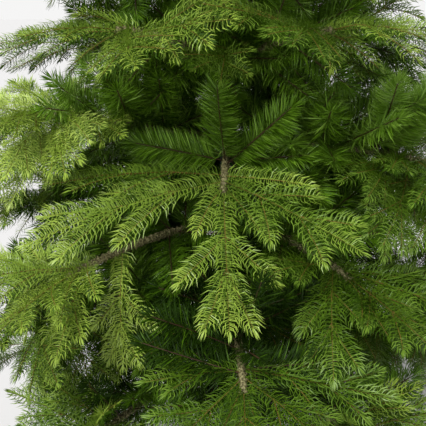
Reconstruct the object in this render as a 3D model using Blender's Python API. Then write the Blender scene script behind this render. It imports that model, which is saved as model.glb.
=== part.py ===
"""A full-size artificial Christmas tree of wrapped wire boughs on a steel pole, in a four-legged steel stand.

Blender 4.5, metres, +Z up. The origin is on the floor, straight under the pole, and the front of the tree
faces -Y. Every bough leaves a collar on the pole, rises a little and sags towards its tip. Past its bare
length it enters a mass of foliage: a stem with dark bottle-brush tips near the pole, and a fan of soft,
moulded sprays further out. Here each spray and each tip is one toothed blade.
"""

import math
import random
from dataclasses import dataclass, replace

import bmesh
import bpy
from mathutils import Vector
from mathutils.bvhtree import BVHTree

# Gaps and rounding
SEAT_GAP = 0.0003          # between two pieces that touch on the real tree
BLADE_CLEARANCE = 0.0012   # a blade is kept this far from another mass

# Pole
POLE_FOOT = 0.036
POLE_TOP = 1.270
POLE_SECTIONS = ((0.560, 0.0160), (0.985, 0.0140), (POLE_TOP, 0.0115))   # upper end, radius
SLEEVE_LENGTH = 0.050
SLEEVE_WALL = 0.0015
COLLAR_RADIUS = 0.0240
COLLAR_HEIGHT = 0.024
COLLAR_SLOPE = 0.003
POLE_SIDES = 12

# Stand
SOCKET_FLOOR = 0.030
SOCKET_TOP = 0.205
SOCKET_BORE_RADIUS = 0.0168
SOCKET_RADIUS = 0.0215
SOCKET_LIP_RADIUS = 0.0240
SOCKET_LIP_HEIGHT = 0.012
HUB_HALF_WIDTH = 0.031
HUB_BOTTOM = 0.046
HUB_TOP = 0.092
HUB_BEVEL = 0.004
SOCKET_SIDES = 16
LEG_COUNT = 4
LEG_TURN = 45.0            # degrees from the front to the first leg
LEG_REACH = 0.325
LEG_HALF_WIDTH = 0.011
LEG_DEPTH = 0.020
LEG_SHOULDER = 0.060       # distance from the pole's axis at which the leg starts to slope
LEG_BEVEL = 0.0025
FOOT_LENGTH = 0.034
FOOT_SPREAD = 0.0020
FOOT_HEIGHT = 0.030

# Boughs
BOUGH_ROOT_RADIUS = 0.0065
BOUGH_END_RADIUS = 0.0056
BOUGH_SIDES = 6
BOUGH_STEPS = 2
STEM_RADIUS = 0.0064
STEM_END_RADIUS = 0.0052
STEM_SIDES = 4
STEM_STEPS = 3
LEADER_RADIUS = 0.0060

# Foliage
FAN_BACK = 0.200           # horizontal distance from a bough's tip back to the joint its sprays spread from
SPRAY_WIDTH_SHARE = 0.50    # of its length
SPRAY_OUTLINE = ((0.50, 1.0), (0.57, 0.34), (0.80, 0.66))   # tooth, notch, tooth: share of length, of half width
BRUSH_LENGTH = 0.155
BRUSH_WIDTH_SHARE = 0.41
BRUSH_OUTLINE = ((0.44, 1.0), (0.60, 0.42))
BLADE_ROOT = 0.0040        # height of a blade's root
BLADE_RIDGE = 0.0075       # its height over its flat underside, above the notch
SUNK = 0.0010              # how far behind the stem's axis a blade's root starts
FULL_REACH = 0.50          # the reach at which sprays have their full length
JITTER_SIDE = 7.0
JITTER_DROOP = 6.0
JITTER_PER_LIFT = 0.7      # more of it towards the top, where the sprays stand every way
JITTER_LENGTH = 0.09

# Each spray of the fan: distance back from the joint, angle to the bough's heading, droop below level, length
SOFT_FAN = (
    (0.040, -80.0, 4.0, 0.245),
    (0.022, -50.0, 17.0, 0.250),
    (0.008, -30.0, 46.0, 0.105),
    (0.004, 33.0, 44.0, 0.115),
    (0.018, 58.0, 24.0, 0.245),
    (0.034, 84.0, 3.0, 0.150),
)
HANGING_SPRAY = (0.095, 8.0, 74.0, 0.180)      # only on boughs with a bare length
# Sprays near the pole: distance past the bough's end, angle, droop, length
INNER_SPRAYS = (
    (0.056, -64.0, 16.0, 0.205),
    (0.070, 66.0, 9.0, 0.205),
)
INNER_ROOM = 0.065         # least distance between an inner spray and the joint
# Bottle-brush tips: distance past the bough's end, angle, rise above level
BRUSH_TIPS = (
    (0.016, -86.0, 8.0),
    (0.030, -18.0, 66.0),
    (0.022, 82.0, 16.0),
    (0.042, 42.0, 46.0),
    (0.036, -48.0, 40.0),
    (0.048, 16.0, -34.0),
)
SHOWN_BRUSHES = 4          # how many of those tips the solids carry; the rest only thicken the foliage

# Leader: sprays that wind up the stem above the pole, shorter and steeper towards the tip
LEADER_TOP = 1.800
LEADER_TIP_LENGTH = 0.165
LEADER_COUNT = 20
LEADER_TURN = 137.5
LEADER_SPRAYS_FROM = 0.022      # above the pole's top
LEADER_SPRAYS_TO = 0.375
LEADER_LENGTH = (0.235, 0.110)  # lowest and highest spray
LEADER_RISE = (2.0, 52.0)

SEED = 307007


@dataclass
class Tier:
    """One ring of boughs: the height they leave the pole at, how many, the first one's angle, their reach."""

    height: float
    count: int
    turn: float
    reach: float
    bare: float      # length of bough before the foliage, 0 where the foliage starts at the pole
    lift: float      # how much less than in the fan the sprays droop, in degrees


TIERS = (
    Tier(0.358, 5, 36.0, 0.600, 0.110, 0.0),
    Tier(0.490, 5, 4.0, 0.580, 0.110, 0.0),
    Tier(0.622, 5, 36.0, 0.550, 0.105, 0.0),
    Tier(0.754, 5, -3.0, 0.505, 0.100, 0.0),
    Tier(0.890, 5, 33.0, 0.430, 0.0, 14.0),
    Tier(1.030, 4, 12.0, 0.370, 0.0, 18.0),
    Tier(1.165, 3, 50.0, 0.310, 0.0, 24.0),
)

@dataclass
class FrontBough:
    """A bough in full view from the front: its own curve, and its sprays and brush tips one by one."""

    turn: float      # degrees off its place in the ring
    rise: float
    sag: float
    reach: float
    sprays: tuple = ()      # distance out, angle to the bough's heading, droop, length; the tip's spray first
    brushes: tuple = ()     # distance out, angle, rise, length


# By tier and place in it, both counted from 0
FRONT_BOUGHS = {
    (3, 0): FrontBough(
        0.0, 10.0, 1.47, 0.400,
        sprays=(
            (0.200, 5.0, 40.0, 0.240), (0.165, -76.0, 3.0, 0.255), (0.182, -69.0, 14.0, 0.275),
            (0.194, -26.0, 32.0, 0.105), (0.196, 38.0, 28.0, 0.110), (0.182, 56.0, 16.0, 0.250),
            (0.168, 78.0, 3.0, 0.140),
        ),
        brushes=((0.115, -83.0, 12.0, 0.160), (0.125, -9.0, 60.0, 0.150), (0.132, 68.0, 36.0, 0.150),
                 (0.140, 66.0, 12.0, 0.140)),
    ),
    (3, 1): FrontBough(
        1.0, 10.0, 0.55, 0.520,
        sprays=(
            (0.320, 0.0, 16.0, 0.205), (0.300, 76.0, -14.0, 0.200), (0.285, -86.0, -3.0, 0.150),
            (0.262, -88.0, 11.0, 0.180), (0.300, -92.0, 28.0, 0.210), (0.275, -110.0, 6.0, 0.160),
            (0.312, -60.0, 15.0, 0.220), (0.290, 60.0, 20.0, 0.220),
        ),
        brushes=((0.110, -76.0, 11.0, 0.150), (0.168, -72.0, 1.0, 0.150), (0.150, 10.0, 33.0, 0.160),
                 (0.125, -40.0, 48.0, 0.150)),
    ),
    (3, 4): FrontBough(
        0.0, 20.0, 0.45, 0.505,
        sprays=(
            (0.305, 0.0, 0.0, 0.200), (0.290, -59.0, 2.0, 0.220), (0.300, 64.0, -2.0, 0.200),
            (0.275, 97.0, 4.0, 0.180), (0.285, 88.0, 17.0, 0.200), (0.298, 66.0, 18.0, 0.200),
            (0.240, 105.0, 3.0, 0.150), (0.262, -98.0, -10.0, 0.200),
        ),
        brushes=((0.112, 75.0, 45.0, 0.150), (0.140, 48.0, 38.0, 0.160), (0.130, 35.0, -8.0, 0.160),
                 (0.125, -80.0, 25.0, 0.150)),
    ),
    (2, 4): FrontBough(
        -4.0, 10.0, 0.50, 0.550,
        sprays=(
            (0.345, 14.0, 10.0, 0.205), (0.252, 42.0, 66.0, 0.185), (0.338, -74.0, 10.0, 0.200),
            (0.340, 36.0, 16.0, 0.130), (0.325, 55.0, 6.0, 0.105), (0.330, -45.0, 6.0, 0.230),
            (0.332, 30.0, 34.0, 0.160), (0.320, -98.0, 14.0, 0.210),
        ),
        brushes=((0.150, 45.0, -19.0, 0.150), (0.140, 5.0, 32.0, 0.150), (0.125, -60.0, 10.0, 0.160),
                 (0.135, 85.0, 10.0, 0.150)),
    ),
    (2, 0): FrontBough(
        0.0, 10.0, 0.80, 0.490,
        sprays=(
            (0.290, -5.0, 15.0, 0.200), (0.262, -42.0, 36.0, 0.200), (0.282, -18.0, 17.0, 0.155),
            (0.278, 75.0, 13.0, 0.200), (0.258, -79.0, -10.0, 0.150), (0.270, -79.0, 36.0, 0.120),
            (0.272, 48.0, 18.0, 0.220),
        ),
        brushes=((0.150, -52.0, -21.0, 0.150), (0.142, 44.0, 8.0, 0.150), (0.125, 0.0, 55.0, 0.150),
                 (0.120, 85.0, 15.0, 0.150)),
    ),
    (4, 0): FrontBough(0.0, 24.0, 0.67, 0.430),
    (4, 4): FrontBough(0.0, 24.0, 0.67, 0.430),
}


def heading(azimuth, rise=0.0):
    """Unit vector at an angle from the front, positive to the right, and a rise above level, in degrees."""
    a, e = math.radians(azimuth), math.radians(rise)
    return Vector((math.sin(a) * math.cos(e), -math.cos(a) * math.cos(e), math.sin(e)))


@dataclass
class Blade:
    """One spray of moulded needles or one bottle-brush tip: where it roots, where it points, size and teeth."""

    root: Vector
    direction: Vector
    length: float
    width_share: float = SPRAY_WIDTH_SHARE
    outline: tuple = SPRAY_OUTLINE


@dataclass
class Bough:
    """A limb on its own curve, which rises from the pole and sags with the square of the distance."""

    name: str
    azimuth: float
    height: float
    rise: float
    sag: float
    reach: float
    bare: float
    lift: float
    scale: float     # how the sprays shrink towards the top of the tree
    random: random.Random
    front: FrontBough = None

    def point(self, out):
        """The curve's point at a horizontal distance out from the pole's axis."""
        level = heading(self.azimuth) * out
        up = self.height + math.tan(math.radians(self.rise)) * out - self.sag * out * out
        return Vector((level.x, level.y, up))

    def tangent(self, out):
        """The curve's direction there."""
        slope = math.tan(math.radians(self.rise)) - 2.0 * self.sag * out
        return (heading(self.azimuth) + Vector((0.0, 0.0, slope))).normalized()

    @property
    def start(self):
        """Distance out at which the limb meets the pole's collar, which has flats and corners."""
        flat = 360.0 / POLE_SIDES
        off_corner = abs((self.azimuth + flat / 2.0) % flat - flat / 2.0)
        return COLLAR_RADIUS * math.cos(math.radians(off_corner)) + SEAT_GAP

    @property
    def foliage_start(self):
        """Distance out at which the mass begins."""
        return self.bare if self.bare else self.start

    @property
    def joint(self):
        """Distance out from which the sprays of the fan spread."""
        return self.reach - FAN_BACK * self.scale


def make_boughs():
    """Every bough of the tree, tier by tier from the lowest."""
    boughs = []
    for t, tier in enumerate(TIERS):
        for k in range(tier.count):
            draw = random.Random(SEED + 100 * t + k)
            azimuth = tier.turn + 360.0 / tier.count * k + draw.uniform(-3.0, 3.0)
            rise = draw.uniform(8.0, 16.0) + 0.6 * tier.lift
            droop = draw.uniform(21.0, 30.0)
            reach = tier.reach * draw.uniform(0.97, 1.0)
            sag = (math.tan(math.radians(rise)) + math.tan(math.radians(droop))) / (2.0 * reach)
            front = FRONT_BOUGHS.get((t, k))
            if front:
                azimuth = tier.turn + 360.0 / tier.count * k + front.turn
                rise, sag, reach = front.rise, front.sag, front.reach
            scale = min(1.0, 0.42 + 0.58 * tier.reach / FULL_REACH)
            boughs.append(Bough(f"tier{t + 1}_{k + 1}", azimuth, tier.height, rise, sag, reach,
                                tier.bare, tier.lift, scale, draw, front))
    return boughs


def jittered(draw, side, droop, length, spread=JITTER_DROOP):
    """One line of a fan, moved a little by the bough's own draw."""
    return (
        side + draw.uniform(-JITTER_SIDE, JITTER_SIDE),
        droop + draw.uniform(-spread, spread),
        length * (1.0 + draw.uniform(-JITTER_LENGTH, JITTER_LENGTH)),
    )


def blades_of(bough):
    """The blades on one bough's stem: the spray at its tip, then the fan, inner sprays and brush tips."""
    if bough.front and bough.front.sprays:
        blades = [Blade(bough.point(out), heading(bough.azimuth + side, -droop), length)
                  for out, side, droop, length in bough.front.sprays]
        blades += [Blade(bough.point(out), heading(bough.azimuth + side, rise), length, BRUSH_WIDTH_SHARE,
                         BRUSH_OUTLINE) for out, side, rise, length in bough.front.brushes]
        return blades
    draw = bough.random
    flip = -1.0 if draw.random() < 0.5 else 1.0
    joint = bough.point(bough.joint)
    along = bough.point(bough.reach) - joint
    blades = [Blade(joint, along.normalized(), along.length)]
    lines = [(bough.joint - back * bough.scale, *line) for back, *line in SOFT_FAN]
    lines += [(bough.foliage_start + past * bough.scale, *line) for past, *line in INNER_SPRAYS]
    if bough.bare:
        lines.append((bough.joint - HANGING_SPRAY[0], *HANGING_SPRAY[1:]))
    spread = JITTER_DROOP if bough.front else JITTER_DROOP + JITTER_PER_LIFT * bough.lift
    for place, (out, *line) in enumerate(lines):
        side, droop, length = jittered(draw, *line, spread)
        if place >= len(SOFT_FAN) and line[1] < 45.0 and out > bough.joint - INNER_ROOM * bough.scale:
            continue
        direction = heading(bough.azimuth + flip * side, bough.lift - droop)
        blades.append(Blade(bough.point(out), direction, length * bough.scale))
    for past, side, rise in BRUSH_TIPS[:SHOWN_BRUSHES]:
        side, rise, length = jittered(draw, side, rise, BRUSH_LENGTH)
        root = bough.point(bough.foliage_start + past * bough.scale)
        direction = heading(bough.azimuth + flip * side, rise)
        blades.append(Blade(root, direction, length * bough.scale, BRUSH_WIDTH_SHARE, BRUSH_OUTLINE))
    return blades


def leader_blades():
    """The blades on the leader above the pole: the tip first, then the winding sprays from the lowest up."""
    draw = random.Random(SEED)
    tip = Vector((0.0, 0.0, LEADER_TOP - LEADER_TIP_LENGTH))
    blades = [Blade(tip, Vector((0.0, 0.0, 1.0)), LEADER_TIP_LENGTH, 0.8 * SPRAY_WIDTH_SHARE)]
    for i in range(LEADER_COUNT):
        share = i / (LEADER_COUNT - 1)
        up = LEADER_SPRAYS_FROM + (LEADER_SPRAYS_TO - LEADER_SPRAYS_FROM) * share
        rise = LEADER_RISE[0] + (LEADER_RISE[1] - LEADER_RISE[0]) * share
        length = LEADER_LENGTH[0] + (LEADER_LENGTH[1] - LEADER_LENGTH[0]) * share
        azimuth, rise, length = jittered(draw, LEADER_TURN * i, rise, length)
        blades.append(Blade(Vector((0.0, 0.0, POLE_TOP + up)), heading(azimuth, rise), length))
    return blades


def blade_shape(blade, grow=0.0):
    """Points and faces of a toothed blade: an upright edge at its root, and a ridge over and under its middle."""
    along = blade.direction
    across = along.cross(Vector((0.0, 0.0, 1.0)))
    if across.length < 0.1:
        across = Vector((1.0, 0.0, 0.0))
    across.normalize()
    over = across.cross(along).normalized()
    half = blade.length * blade.width_share / 2.0 + grow
    length = blade.length + grow + SUNK
    origin = blade.root - along * SUNK
    side = [(u * length, v * half) for u, v in blade.outline]
    outline = side + [(length, 0.0)] + [(u, -v) for u, v in reversed(side)]
    points = [origin + along * u + across * v - over * grow for u, v in outline]
    root_low, root_high, ridge = range(len(outline), len(outline) + 3)
    points += [origin - over * (BLADE_ROOT / 2.0 + grow), origin + over * (BLADE_ROOT / 2.0 + grow)]
    points.append(origin + along * (blade.outline[-2][0] * length) + over * (BLADE_RIDGE + grow))
    last = len(outline) - 1
    faces = [(i, i + 1, ridge) for i in range(last)]
    faces += [(root_high, 0, ridge), (last, root_high, ridge), (0, root_high, root_low), (last, root_low, root_high)]
    faces += [(root_low, last, 0), tuple(reversed(range(len(outline))))]
    return points, faces


def tube_shape(centres, radii, normals, sides):
    """Points and faces of a tapering limb through the centres, each ring square to its normal, with flat ends."""
    points = []
    for centre, radius, normal in zip(centres, radii, normals):
        across = normal.cross(Vector((0.0, 0.0, 1.0)))
        if across.length < 0.1:
            across = Vector((1.0, 0.0, 0.0))
        across.normalize()
        over = across.cross(normal)
        for i in range(sides):
            turn = 2.0 * math.pi * i / sides
            points.append(centre + (across * math.cos(turn) + over * math.sin(turn)) * radius)
    faces = [tuple(range(sides))]
    for ring in range(len(centres) - 1):
        for i in range(sides):
            j = (i + 1) % sides
            low, high = ring * sides, (ring + 1) * sides
            faces.append((low + j, low + i, high + i, high + j))
    faces.append(tuple(reversed(range(len(points) - sides, len(points)))))
    return points, faces


def bough_shape(bough):
    """The bare limb from the pole's collar to where its foliage starts."""
    end = bough.foliage_start
    outs = [bough.start + (end - bough.start) * i / BOUGH_STEPS for i in range(BOUGH_STEPS + 1)]
    radii = [BOUGH_ROOT_RADIUS + (BOUGH_END_RADIUS - BOUGH_ROOT_RADIUS) * i / BOUGH_STEPS
             for i in range(BOUGH_STEPS + 1)]
    normals = [heading(bough.azimuth)] + [bough.tangent(out) for out in outs[1:]]
    return tube_shape([bough.point(out) for out in outs], radii, normals, BOUGH_SIDES)


def stem_shape(bough):
    """The limb inside the foliage, from the bough's end, or the collar, to the joint of the fan."""
    first = bough.foliage_start
    outs = [first + (bough.joint + 0.012 - first) * i / STEM_STEPS for i in range(STEM_STEPS + 1)]
    radii = [STEM_RADIUS + (STEM_END_RADIUS - STEM_RADIUS) * i / STEM_STEPS for i in range(STEM_STEPS + 1)]
    normals = [bough.tangent(out) for out in outs]
    centres = [bough.point(out) for out in outs]
    if bough.bare:
        centres[0] = centres[0] + normals[0] * SEAT_GAP
    else:
        normals[0] = heading(bough.azimuth)
    return tube_shape(centres, radii, normals, STEM_SIDES)


def leader_shape():
    """The upright stem above the pole."""
    heights = (POLE_TOP + SEAT_GAP, POLE_TOP + 0.20, LEADER_TOP - LEADER_TIP_LENGTH + 0.015)
    radii = (LEADER_RADIUS, 0.8 * LEADER_RADIUS, STEM_END_RADIUS)
    up = Vector((0.0, 0.0, 1.0))
    return tube_shape([up * h for h in heights], radii, [up] * len(heights), BOUGH_SIDES)


class Space:
    """The surfaces placed so far, each with the name of the node it belongs to."""

    def __init__(self):
        self.placed = []

    def clear(self, owner, points, faces):
        """Whether this surface touches none of another node's."""
        low, high = corners(points)
        tree = BVHTree.FromPolygons(points, faces)
        for other, other_low, other_high, other_tree in self.placed:
            if other == owner:
                continue
            apart = any(low[i] > other_high[i] or high[i] < other_low[i] for i in range(3))
            if not apart and tree.overlap(other_tree):
                return False
        return True

    def add(self, owner, points, faces):
        """Takes the surface's room for its owner."""
        low, high = corners(points)
        self.placed.append((owner, low, high, BVHTree.FromPolygons(points, faces)))


def corners(points):
    """Lowest and highest corner of some points."""
    return ([min(p[i] for p in points) for i in range(3)], [max(p[i] for p in points) for i in range(3)])


def keep_clear(space, plans):
    """Leaves each mass the blades that stay out of every other node, the ones at the tips taking room first."""
    kept = {name: [] for name in plans}
    most = max(len(blades) for blades in plans.values())
    for place in range(most):
        for name, blades in plans.items():
            if place >= len(blades):
                continue
            blade = blades[place]
            for share in (1.0, 0.82, 0.66):
                trial = replace(blade, length=blade.length * share)
                if space.clear(name, *blade_shape(trial, BLADE_CLEARANCE)):
                    space.add(name, *blade_shape(trial))
                    kept[name].append(trial)
                    break
    return kept


def material(name, colour, roughness, metallic=0.0):
    """A Principled material of one colour."""
    made = bpy.data.materials.new(name)
    made.use_nodes = True
    shader = made.node_tree.nodes["Principled BSDF"]
    shader.inputs["Base Color"].default_value = (*colour, 1.0)
    shader.inputs["Roughness"].default_value = roughness
    shader.inputs["Metallic"].default_value = metallic
    made.diffuse_color = (*colour, 1.0)
    return made


def new_object(name, points, faces, look, collection=None):
    """A mesh object from points and faces, with its normals pointing out."""
    mesh = bpy.data.meshes.new(name)
    mesh.from_pydata(points, [], faces)
    bm = bmesh.new()
    bm.from_mesh(mesh)
    bmesh.ops.recalc_face_normals(bm, faces=bm.faces)
    bm.to_mesh(mesh)
    bm.free()
    mesh.materials.append(look)
    made = bpy.data.objects.new(name, mesh)
    (collection or bpy.context.scene.collection).objects.link(made)
    return made


def fuse(stem, blades, look):
    """Joins the blades to the stem with one union on their collection, then removes them."""
    group = bpy.data.collections.new("sprays")
    bpy.context.scene.collection.children.link(group)
    pieces = [new_object("spray", *blade_shape(blade), look, group) for blade in blades]
    union = stem.modifiers.new("join", "BOOLEAN")
    union.operation = "UNION"
    union.operand_type = "COLLECTION"
    union.collection = group
    union.solver = "EXACT"
    bpy.context.view_layer.update()
    joined = bpy.data.meshes.new_from_object(stem.evaluated_get(bpy.context.evaluated_depsgraph_get()))
    stem.modifiers.clear()
    stem.data = joined
    for piece in pieces:
        bpy.data.objects.remove(piece)
    bpy.data.collections.remove(group)


def revolve(name, profile, sides, look):
    """A closed solid turned about the pole's axis from (radius, height) points that start and end on it."""
    bm = bmesh.new()
    verts = [bm.verts.new((radius, 0.0, height)) for radius, height in profile]
    edges = [bm.edges.new(pair) for pair in zip(verts, verts[1:])]
    bmesh.ops.spin(bm, geom=verts + edges, axis=(0.0, 0.0, 1.0), cent=(0.0, 0.0, 0.0),
                   angle=2.0 * math.pi, steps=sides, use_merge=True)
    bmesh.ops.remove_doubles(bm, verts=bm.verts, dist=1e-5)
    bmesh.ops.recalc_face_normals(bm, faces=bm.faces)
    mesh = bpy.data.meshes.new(name)
    bm.to_mesh(mesh)
    bm.free()
    mesh.materials.append(look)
    mesh.shade_smooth()
    mesh.set_sharp_from_angle(angle=math.radians(35.0))
    made = bpy.data.objects.new(name, mesh)
    bpy.context.scene.collection.objects.link(made)
    return made


def pole_radius(height):
    """The pole's radius at a height, by section."""
    for top, radius in POLE_SECTIONS:
        if height <= top:
            return radius
    return POLE_SECTIONS[-1][1]


def make_pole(look):
    """The steel pole: three sections that step in, a sleeve at each joint, and a collar for each tier."""
    profile = [(0.0, POLE_FOOT), (POLE_SECTIONS[0][1], POLE_FOOT)]
    marks = [(tier.height - COLLAR_HEIGHT / 2.0, "collar") for tier in TIERS]
    marks += [(top - SLEEVE_LENGTH, "sleeve") for top, radius in POLE_SECTIONS[:-1]]
    for low, kind in sorted(marks):
        below = pole_radius(low)
        if kind == "collar":
            above, wide, tall = below, COLLAR_RADIUS, COLLAR_HEIGHT
        else:
            above, wide, tall = pole_radius(low + SLEEVE_LENGTH + SEAT_GAP), below + SLEEVE_WALL, SLEEVE_LENGTH
        profile += [(below, low - COLLAR_SLOPE), (wide, low), (wide, low + tall), (above, low + tall + COLLAR_SLOPE)]
    profile += [(POLE_SECTIONS[-1][1], POLE_TOP), (0.0, POLE_TOP)]
    return revolve("trunk", profile, POLE_SIDES, look)


def make_socket(look):
    """The tube that takes the pole's foot, with a rolled lip, joined to the square hub that carries the legs."""
    profile = [
        (0.0, SOCKET_FLOOR), (SOCKET_RADIUS, SOCKET_FLOOR), (SOCKET_RADIUS, SOCKET_TOP - SOCKET_LIP_HEIGHT),
        (SOCKET_LIP_RADIUS, SOCKET_TOP - SOCKET_LIP_HEIGHT), (SOCKET_LIP_RADIUS, SOCKET_TOP),
        (SOCKET_BORE_RADIUS, SOCKET_TOP), (SOCKET_BORE_RADIUS, POLE_FOOT - SEAT_GAP), (0.0, POLE_FOOT - SEAT_GAP),
    ]
    socket = revolve("stand_socket", profile, SOCKET_SIDES, look)
    hub = make_hub_block(look)
    union = socket.modifiers.new("join", "BOOLEAN")
    union.operation = "UNION"
    union.object = hub
    union.solver = "EXACT"
    bpy.context.view_layer.update()
    joined = bpy.data.meshes.new_from_object(socket.evaluated_get(bpy.context.evaluated_depsgraph_get()))
    socket.modifiers.clear()
    socket.data = joined
    bpy.data.objects.remove(hub)
    return socket


def make_hub_block(look):
    """The hub: a bevelled square block with a round hole just inside the socket's wall."""
    bm = bmesh.new()
    wall = (SOCKET_BORE_RADIUS + SOCKET_RADIUS) / 2.0
    half = HUB_HALF_WIDTH
    turn = math.radians(LEG_TURN)
    outer, inner = [], []
    for i in range(SOCKET_SIDES):
        angle = 2.0 * math.pi * i / SOCKET_SIDES + turn
        square = half / max(abs(math.cos(angle - turn)), abs(math.sin(angle - turn)))
        square = min(square, half * math.sqrt(2.0) - HUB_BEVEL)
        outer.append((square * math.cos(angle), square * math.sin(angle)))
        inner.append((wall * math.cos(angle), wall * math.sin(angle)))
    rings = [[bm.verts.new((x, y, z)) for x, y in ring]
             for ring, z in ((outer, HUB_BOTTOM), (outer, HUB_TOP), (inner, HUB_TOP), (inner, HUB_BOTTOM))]
    for a, b in zip(rings, rings[1:] + rings[:1]):
        for i in range(SOCKET_SIDES):
            j = (i + 1) % SOCKET_SIDES
            bm.faces.new((a[i], a[j], b[j], b[i]))
    bmesh.ops.recalc_face_normals(bm, faces=bm.faces)
    mesh = bpy.data.meshes.new("hub")
    bm.to_mesh(mesh)
    bm.free()
    mesh.materials.append(look)
    made = bpy.data.objects.new("hub", mesh)
    bpy.context.scene.collection.objects.link(made)
    return made


def make_leg(number, look):
    """A square-section leg that leaves the hub level, slopes to the floor and ends in a capped foot."""
    azimuth = LEG_TURN + 360.0 / LEG_COUNT * number
    root = HUB_HALF_WIDTH + SEAT_GAP
    top = HUB_TOP - 0.006
    foot = LEG_REACH - FOOT_LENGTH
    profile = (
        (root, top), (LEG_SHOULDER, top), (foot, FOOT_HEIGHT - FOOT_SPREAD), (foot, FOOT_HEIGHT),
        (LEG_REACH, FOOT_HEIGHT - 0.002), (LEG_REACH, 0.0), (foot, 0.0), (foot, FOOT_SPREAD),
        (foot - 0.02, FOOT_HEIGHT - LEG_DEPTH), (LEG_SHOULDER - 0.006, top - LEG_DEPTH), (root, top - LEG_DEPTH),
    )
    out = heading(azimuth)
    across = Vector((-out.y, out.x, 0.0))
    bm = bmesh.new()
    ring = [bm.verts.new(out * r + across * -LEG_HALF_WIDTH + Vector((0.0, 0.0, z))) for r, z in profile]
    face = bm.faces.new(ring)
    extruded = bmesh.ops.extrude_face_region(bm, geom=[face])
    moved = [v for v in extruded["geom"] if isinstance(v, bmesh.types.BMVert)]
    bmesh.ops.translate(bm, verts=moved, vec=across * 2.0 * LEG_HALF_WIDTH)
    bmesh.ops.recalc_face_normals(bm, faces=bm.faces)
    mesh = bpy.data.meshes.new(f"stand_leg_{number + 1}")
    bm.to_mesh(mesh)
    bm.free()
    mesh.materials.append(look)
    made = bpy.data.objects.new(mesh.name, mesh)
    bpy.context.scene.collection.objects.link(made)
    return made


def shape_of(made):
    """Points and faces of a finished object, for keeping the blades out of it."""
    return [v.co.copy() for v in made.data.vertices], [tuple(p.vertices) for p in made.data.polygons]


def main():
    for old in list(bpy.data.objects):
        bpy.data.objects.remove(old)
    steel = material("stand steel", (0.020, 0.040, 0.022), 0.45, 0.6)
    pole_paint = material("pole paint", (0.030, 0.060, 0.030), 0.50, 0.3)
    wrap = material("wire wrap", (0.105, 0.080, 0.030), 0.75)
    needles = material("needles", (0.110, 0.210, 0.030), 0.55)

    space = Space()
    for made in (make_pole(pole_paint), make_socket(steel), *(make_leg(n, steel) for n in range(LEG_COUNT))):
        space.add(made.name, *shape_of(made))

    boughs = make_boughs()
    plans = {}
    stems = {}
    for bough in boughs:
        if bough.bare:
            shape = bough_shape(bough)
            space.add(f"bough_{bough.name}", *shape)
            new_object(f"bough_{bough.name}", *shape, wrap)
        name = f"foliage_{bough.name}"
        stems[name] = stem_shape(bough)
        plans[name] = blades_of(bough)
    stems["foliage_leader"] = leader_shape()
    plans["foliage_leader"] = leader_blades()
    for name, shape in stems.items():
        space.add(name, *shape)
    for name, blades in keep_clear(space, plans).items():
        stem = new_object(name, *stems[name], needles)
        fuse(stem, blades, needles)
        triangles = sum(len(p.vertices) - 2 for p in stem.data.polygons)
        print(name, len(blades), "of", len(plans[name]), "blades", triangles, "triangles")


if __name__ == "__main__":
    main()
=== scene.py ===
"""The looks of a full-size artificial Christmas tree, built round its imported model.

Soft moulded sprays and dark bottle-brush tips grow from tape-wrapped wire boughs. Three in ten stand where
the model's toothed blades do, by its rule, carried on to side twigs and single needles. The rest aren't in
the model: they bring the crown near the photo's density and fill it from all sides. The pole, its collars
and the stand get their small hardware, and a pale studio with soft light stands round the tree.
"""

import logging
import math
import random
from dataclasses import dataclass, field
from enum import Enum
from typing import Callable, Optional

import bpy
import numpy as np
from bpy.types import Object
from mathutils import Matrix, Vector


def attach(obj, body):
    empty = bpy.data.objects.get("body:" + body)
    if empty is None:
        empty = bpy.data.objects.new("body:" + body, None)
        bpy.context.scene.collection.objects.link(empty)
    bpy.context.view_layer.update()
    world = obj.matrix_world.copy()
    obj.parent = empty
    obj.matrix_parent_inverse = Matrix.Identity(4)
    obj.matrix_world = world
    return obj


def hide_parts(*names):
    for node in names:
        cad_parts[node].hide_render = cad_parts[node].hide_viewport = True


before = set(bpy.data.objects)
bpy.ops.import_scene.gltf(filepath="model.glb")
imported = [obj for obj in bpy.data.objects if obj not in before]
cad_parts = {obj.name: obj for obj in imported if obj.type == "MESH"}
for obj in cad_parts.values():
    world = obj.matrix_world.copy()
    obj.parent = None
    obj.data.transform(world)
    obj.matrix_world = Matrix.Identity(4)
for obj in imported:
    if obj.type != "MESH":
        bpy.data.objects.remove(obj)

log = logging.getLogger("tree")

BODY = "root"
# Parts of the tree by their rings of boughs, counted from the lowest
REGIONS = {"low": (1, 2), "middle": (3, 4), "high": (5, 6, 7)}

Line = tuple[float, ...]
Lines = tuple[Line, ...]
Pair = tuple[float, float]
Rings = tuple[Pair, ...]
Triple = tuple[float, float, float]
Colour = Triple
Place = tuple[int, int]     # a bough's ring, and its number in the ring


# Finishes


class Tint(Enum):
    """The plain colours that sprays and brush tips are dealt; sunlit is painted light and shade is painted
    shade.
    """

    SUNLIT = "sunlit"
    LIME = "lime"
    SPRING = "spring"
    MEADOW = "meadow"
    MOSS = "moss"
    FERN = "fern"
    IVY = "ivy"
    PINE = "pine"
    FOREST = "forest"
    SHADE = "shade"


Lot = tuple[Tint, ...]


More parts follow.
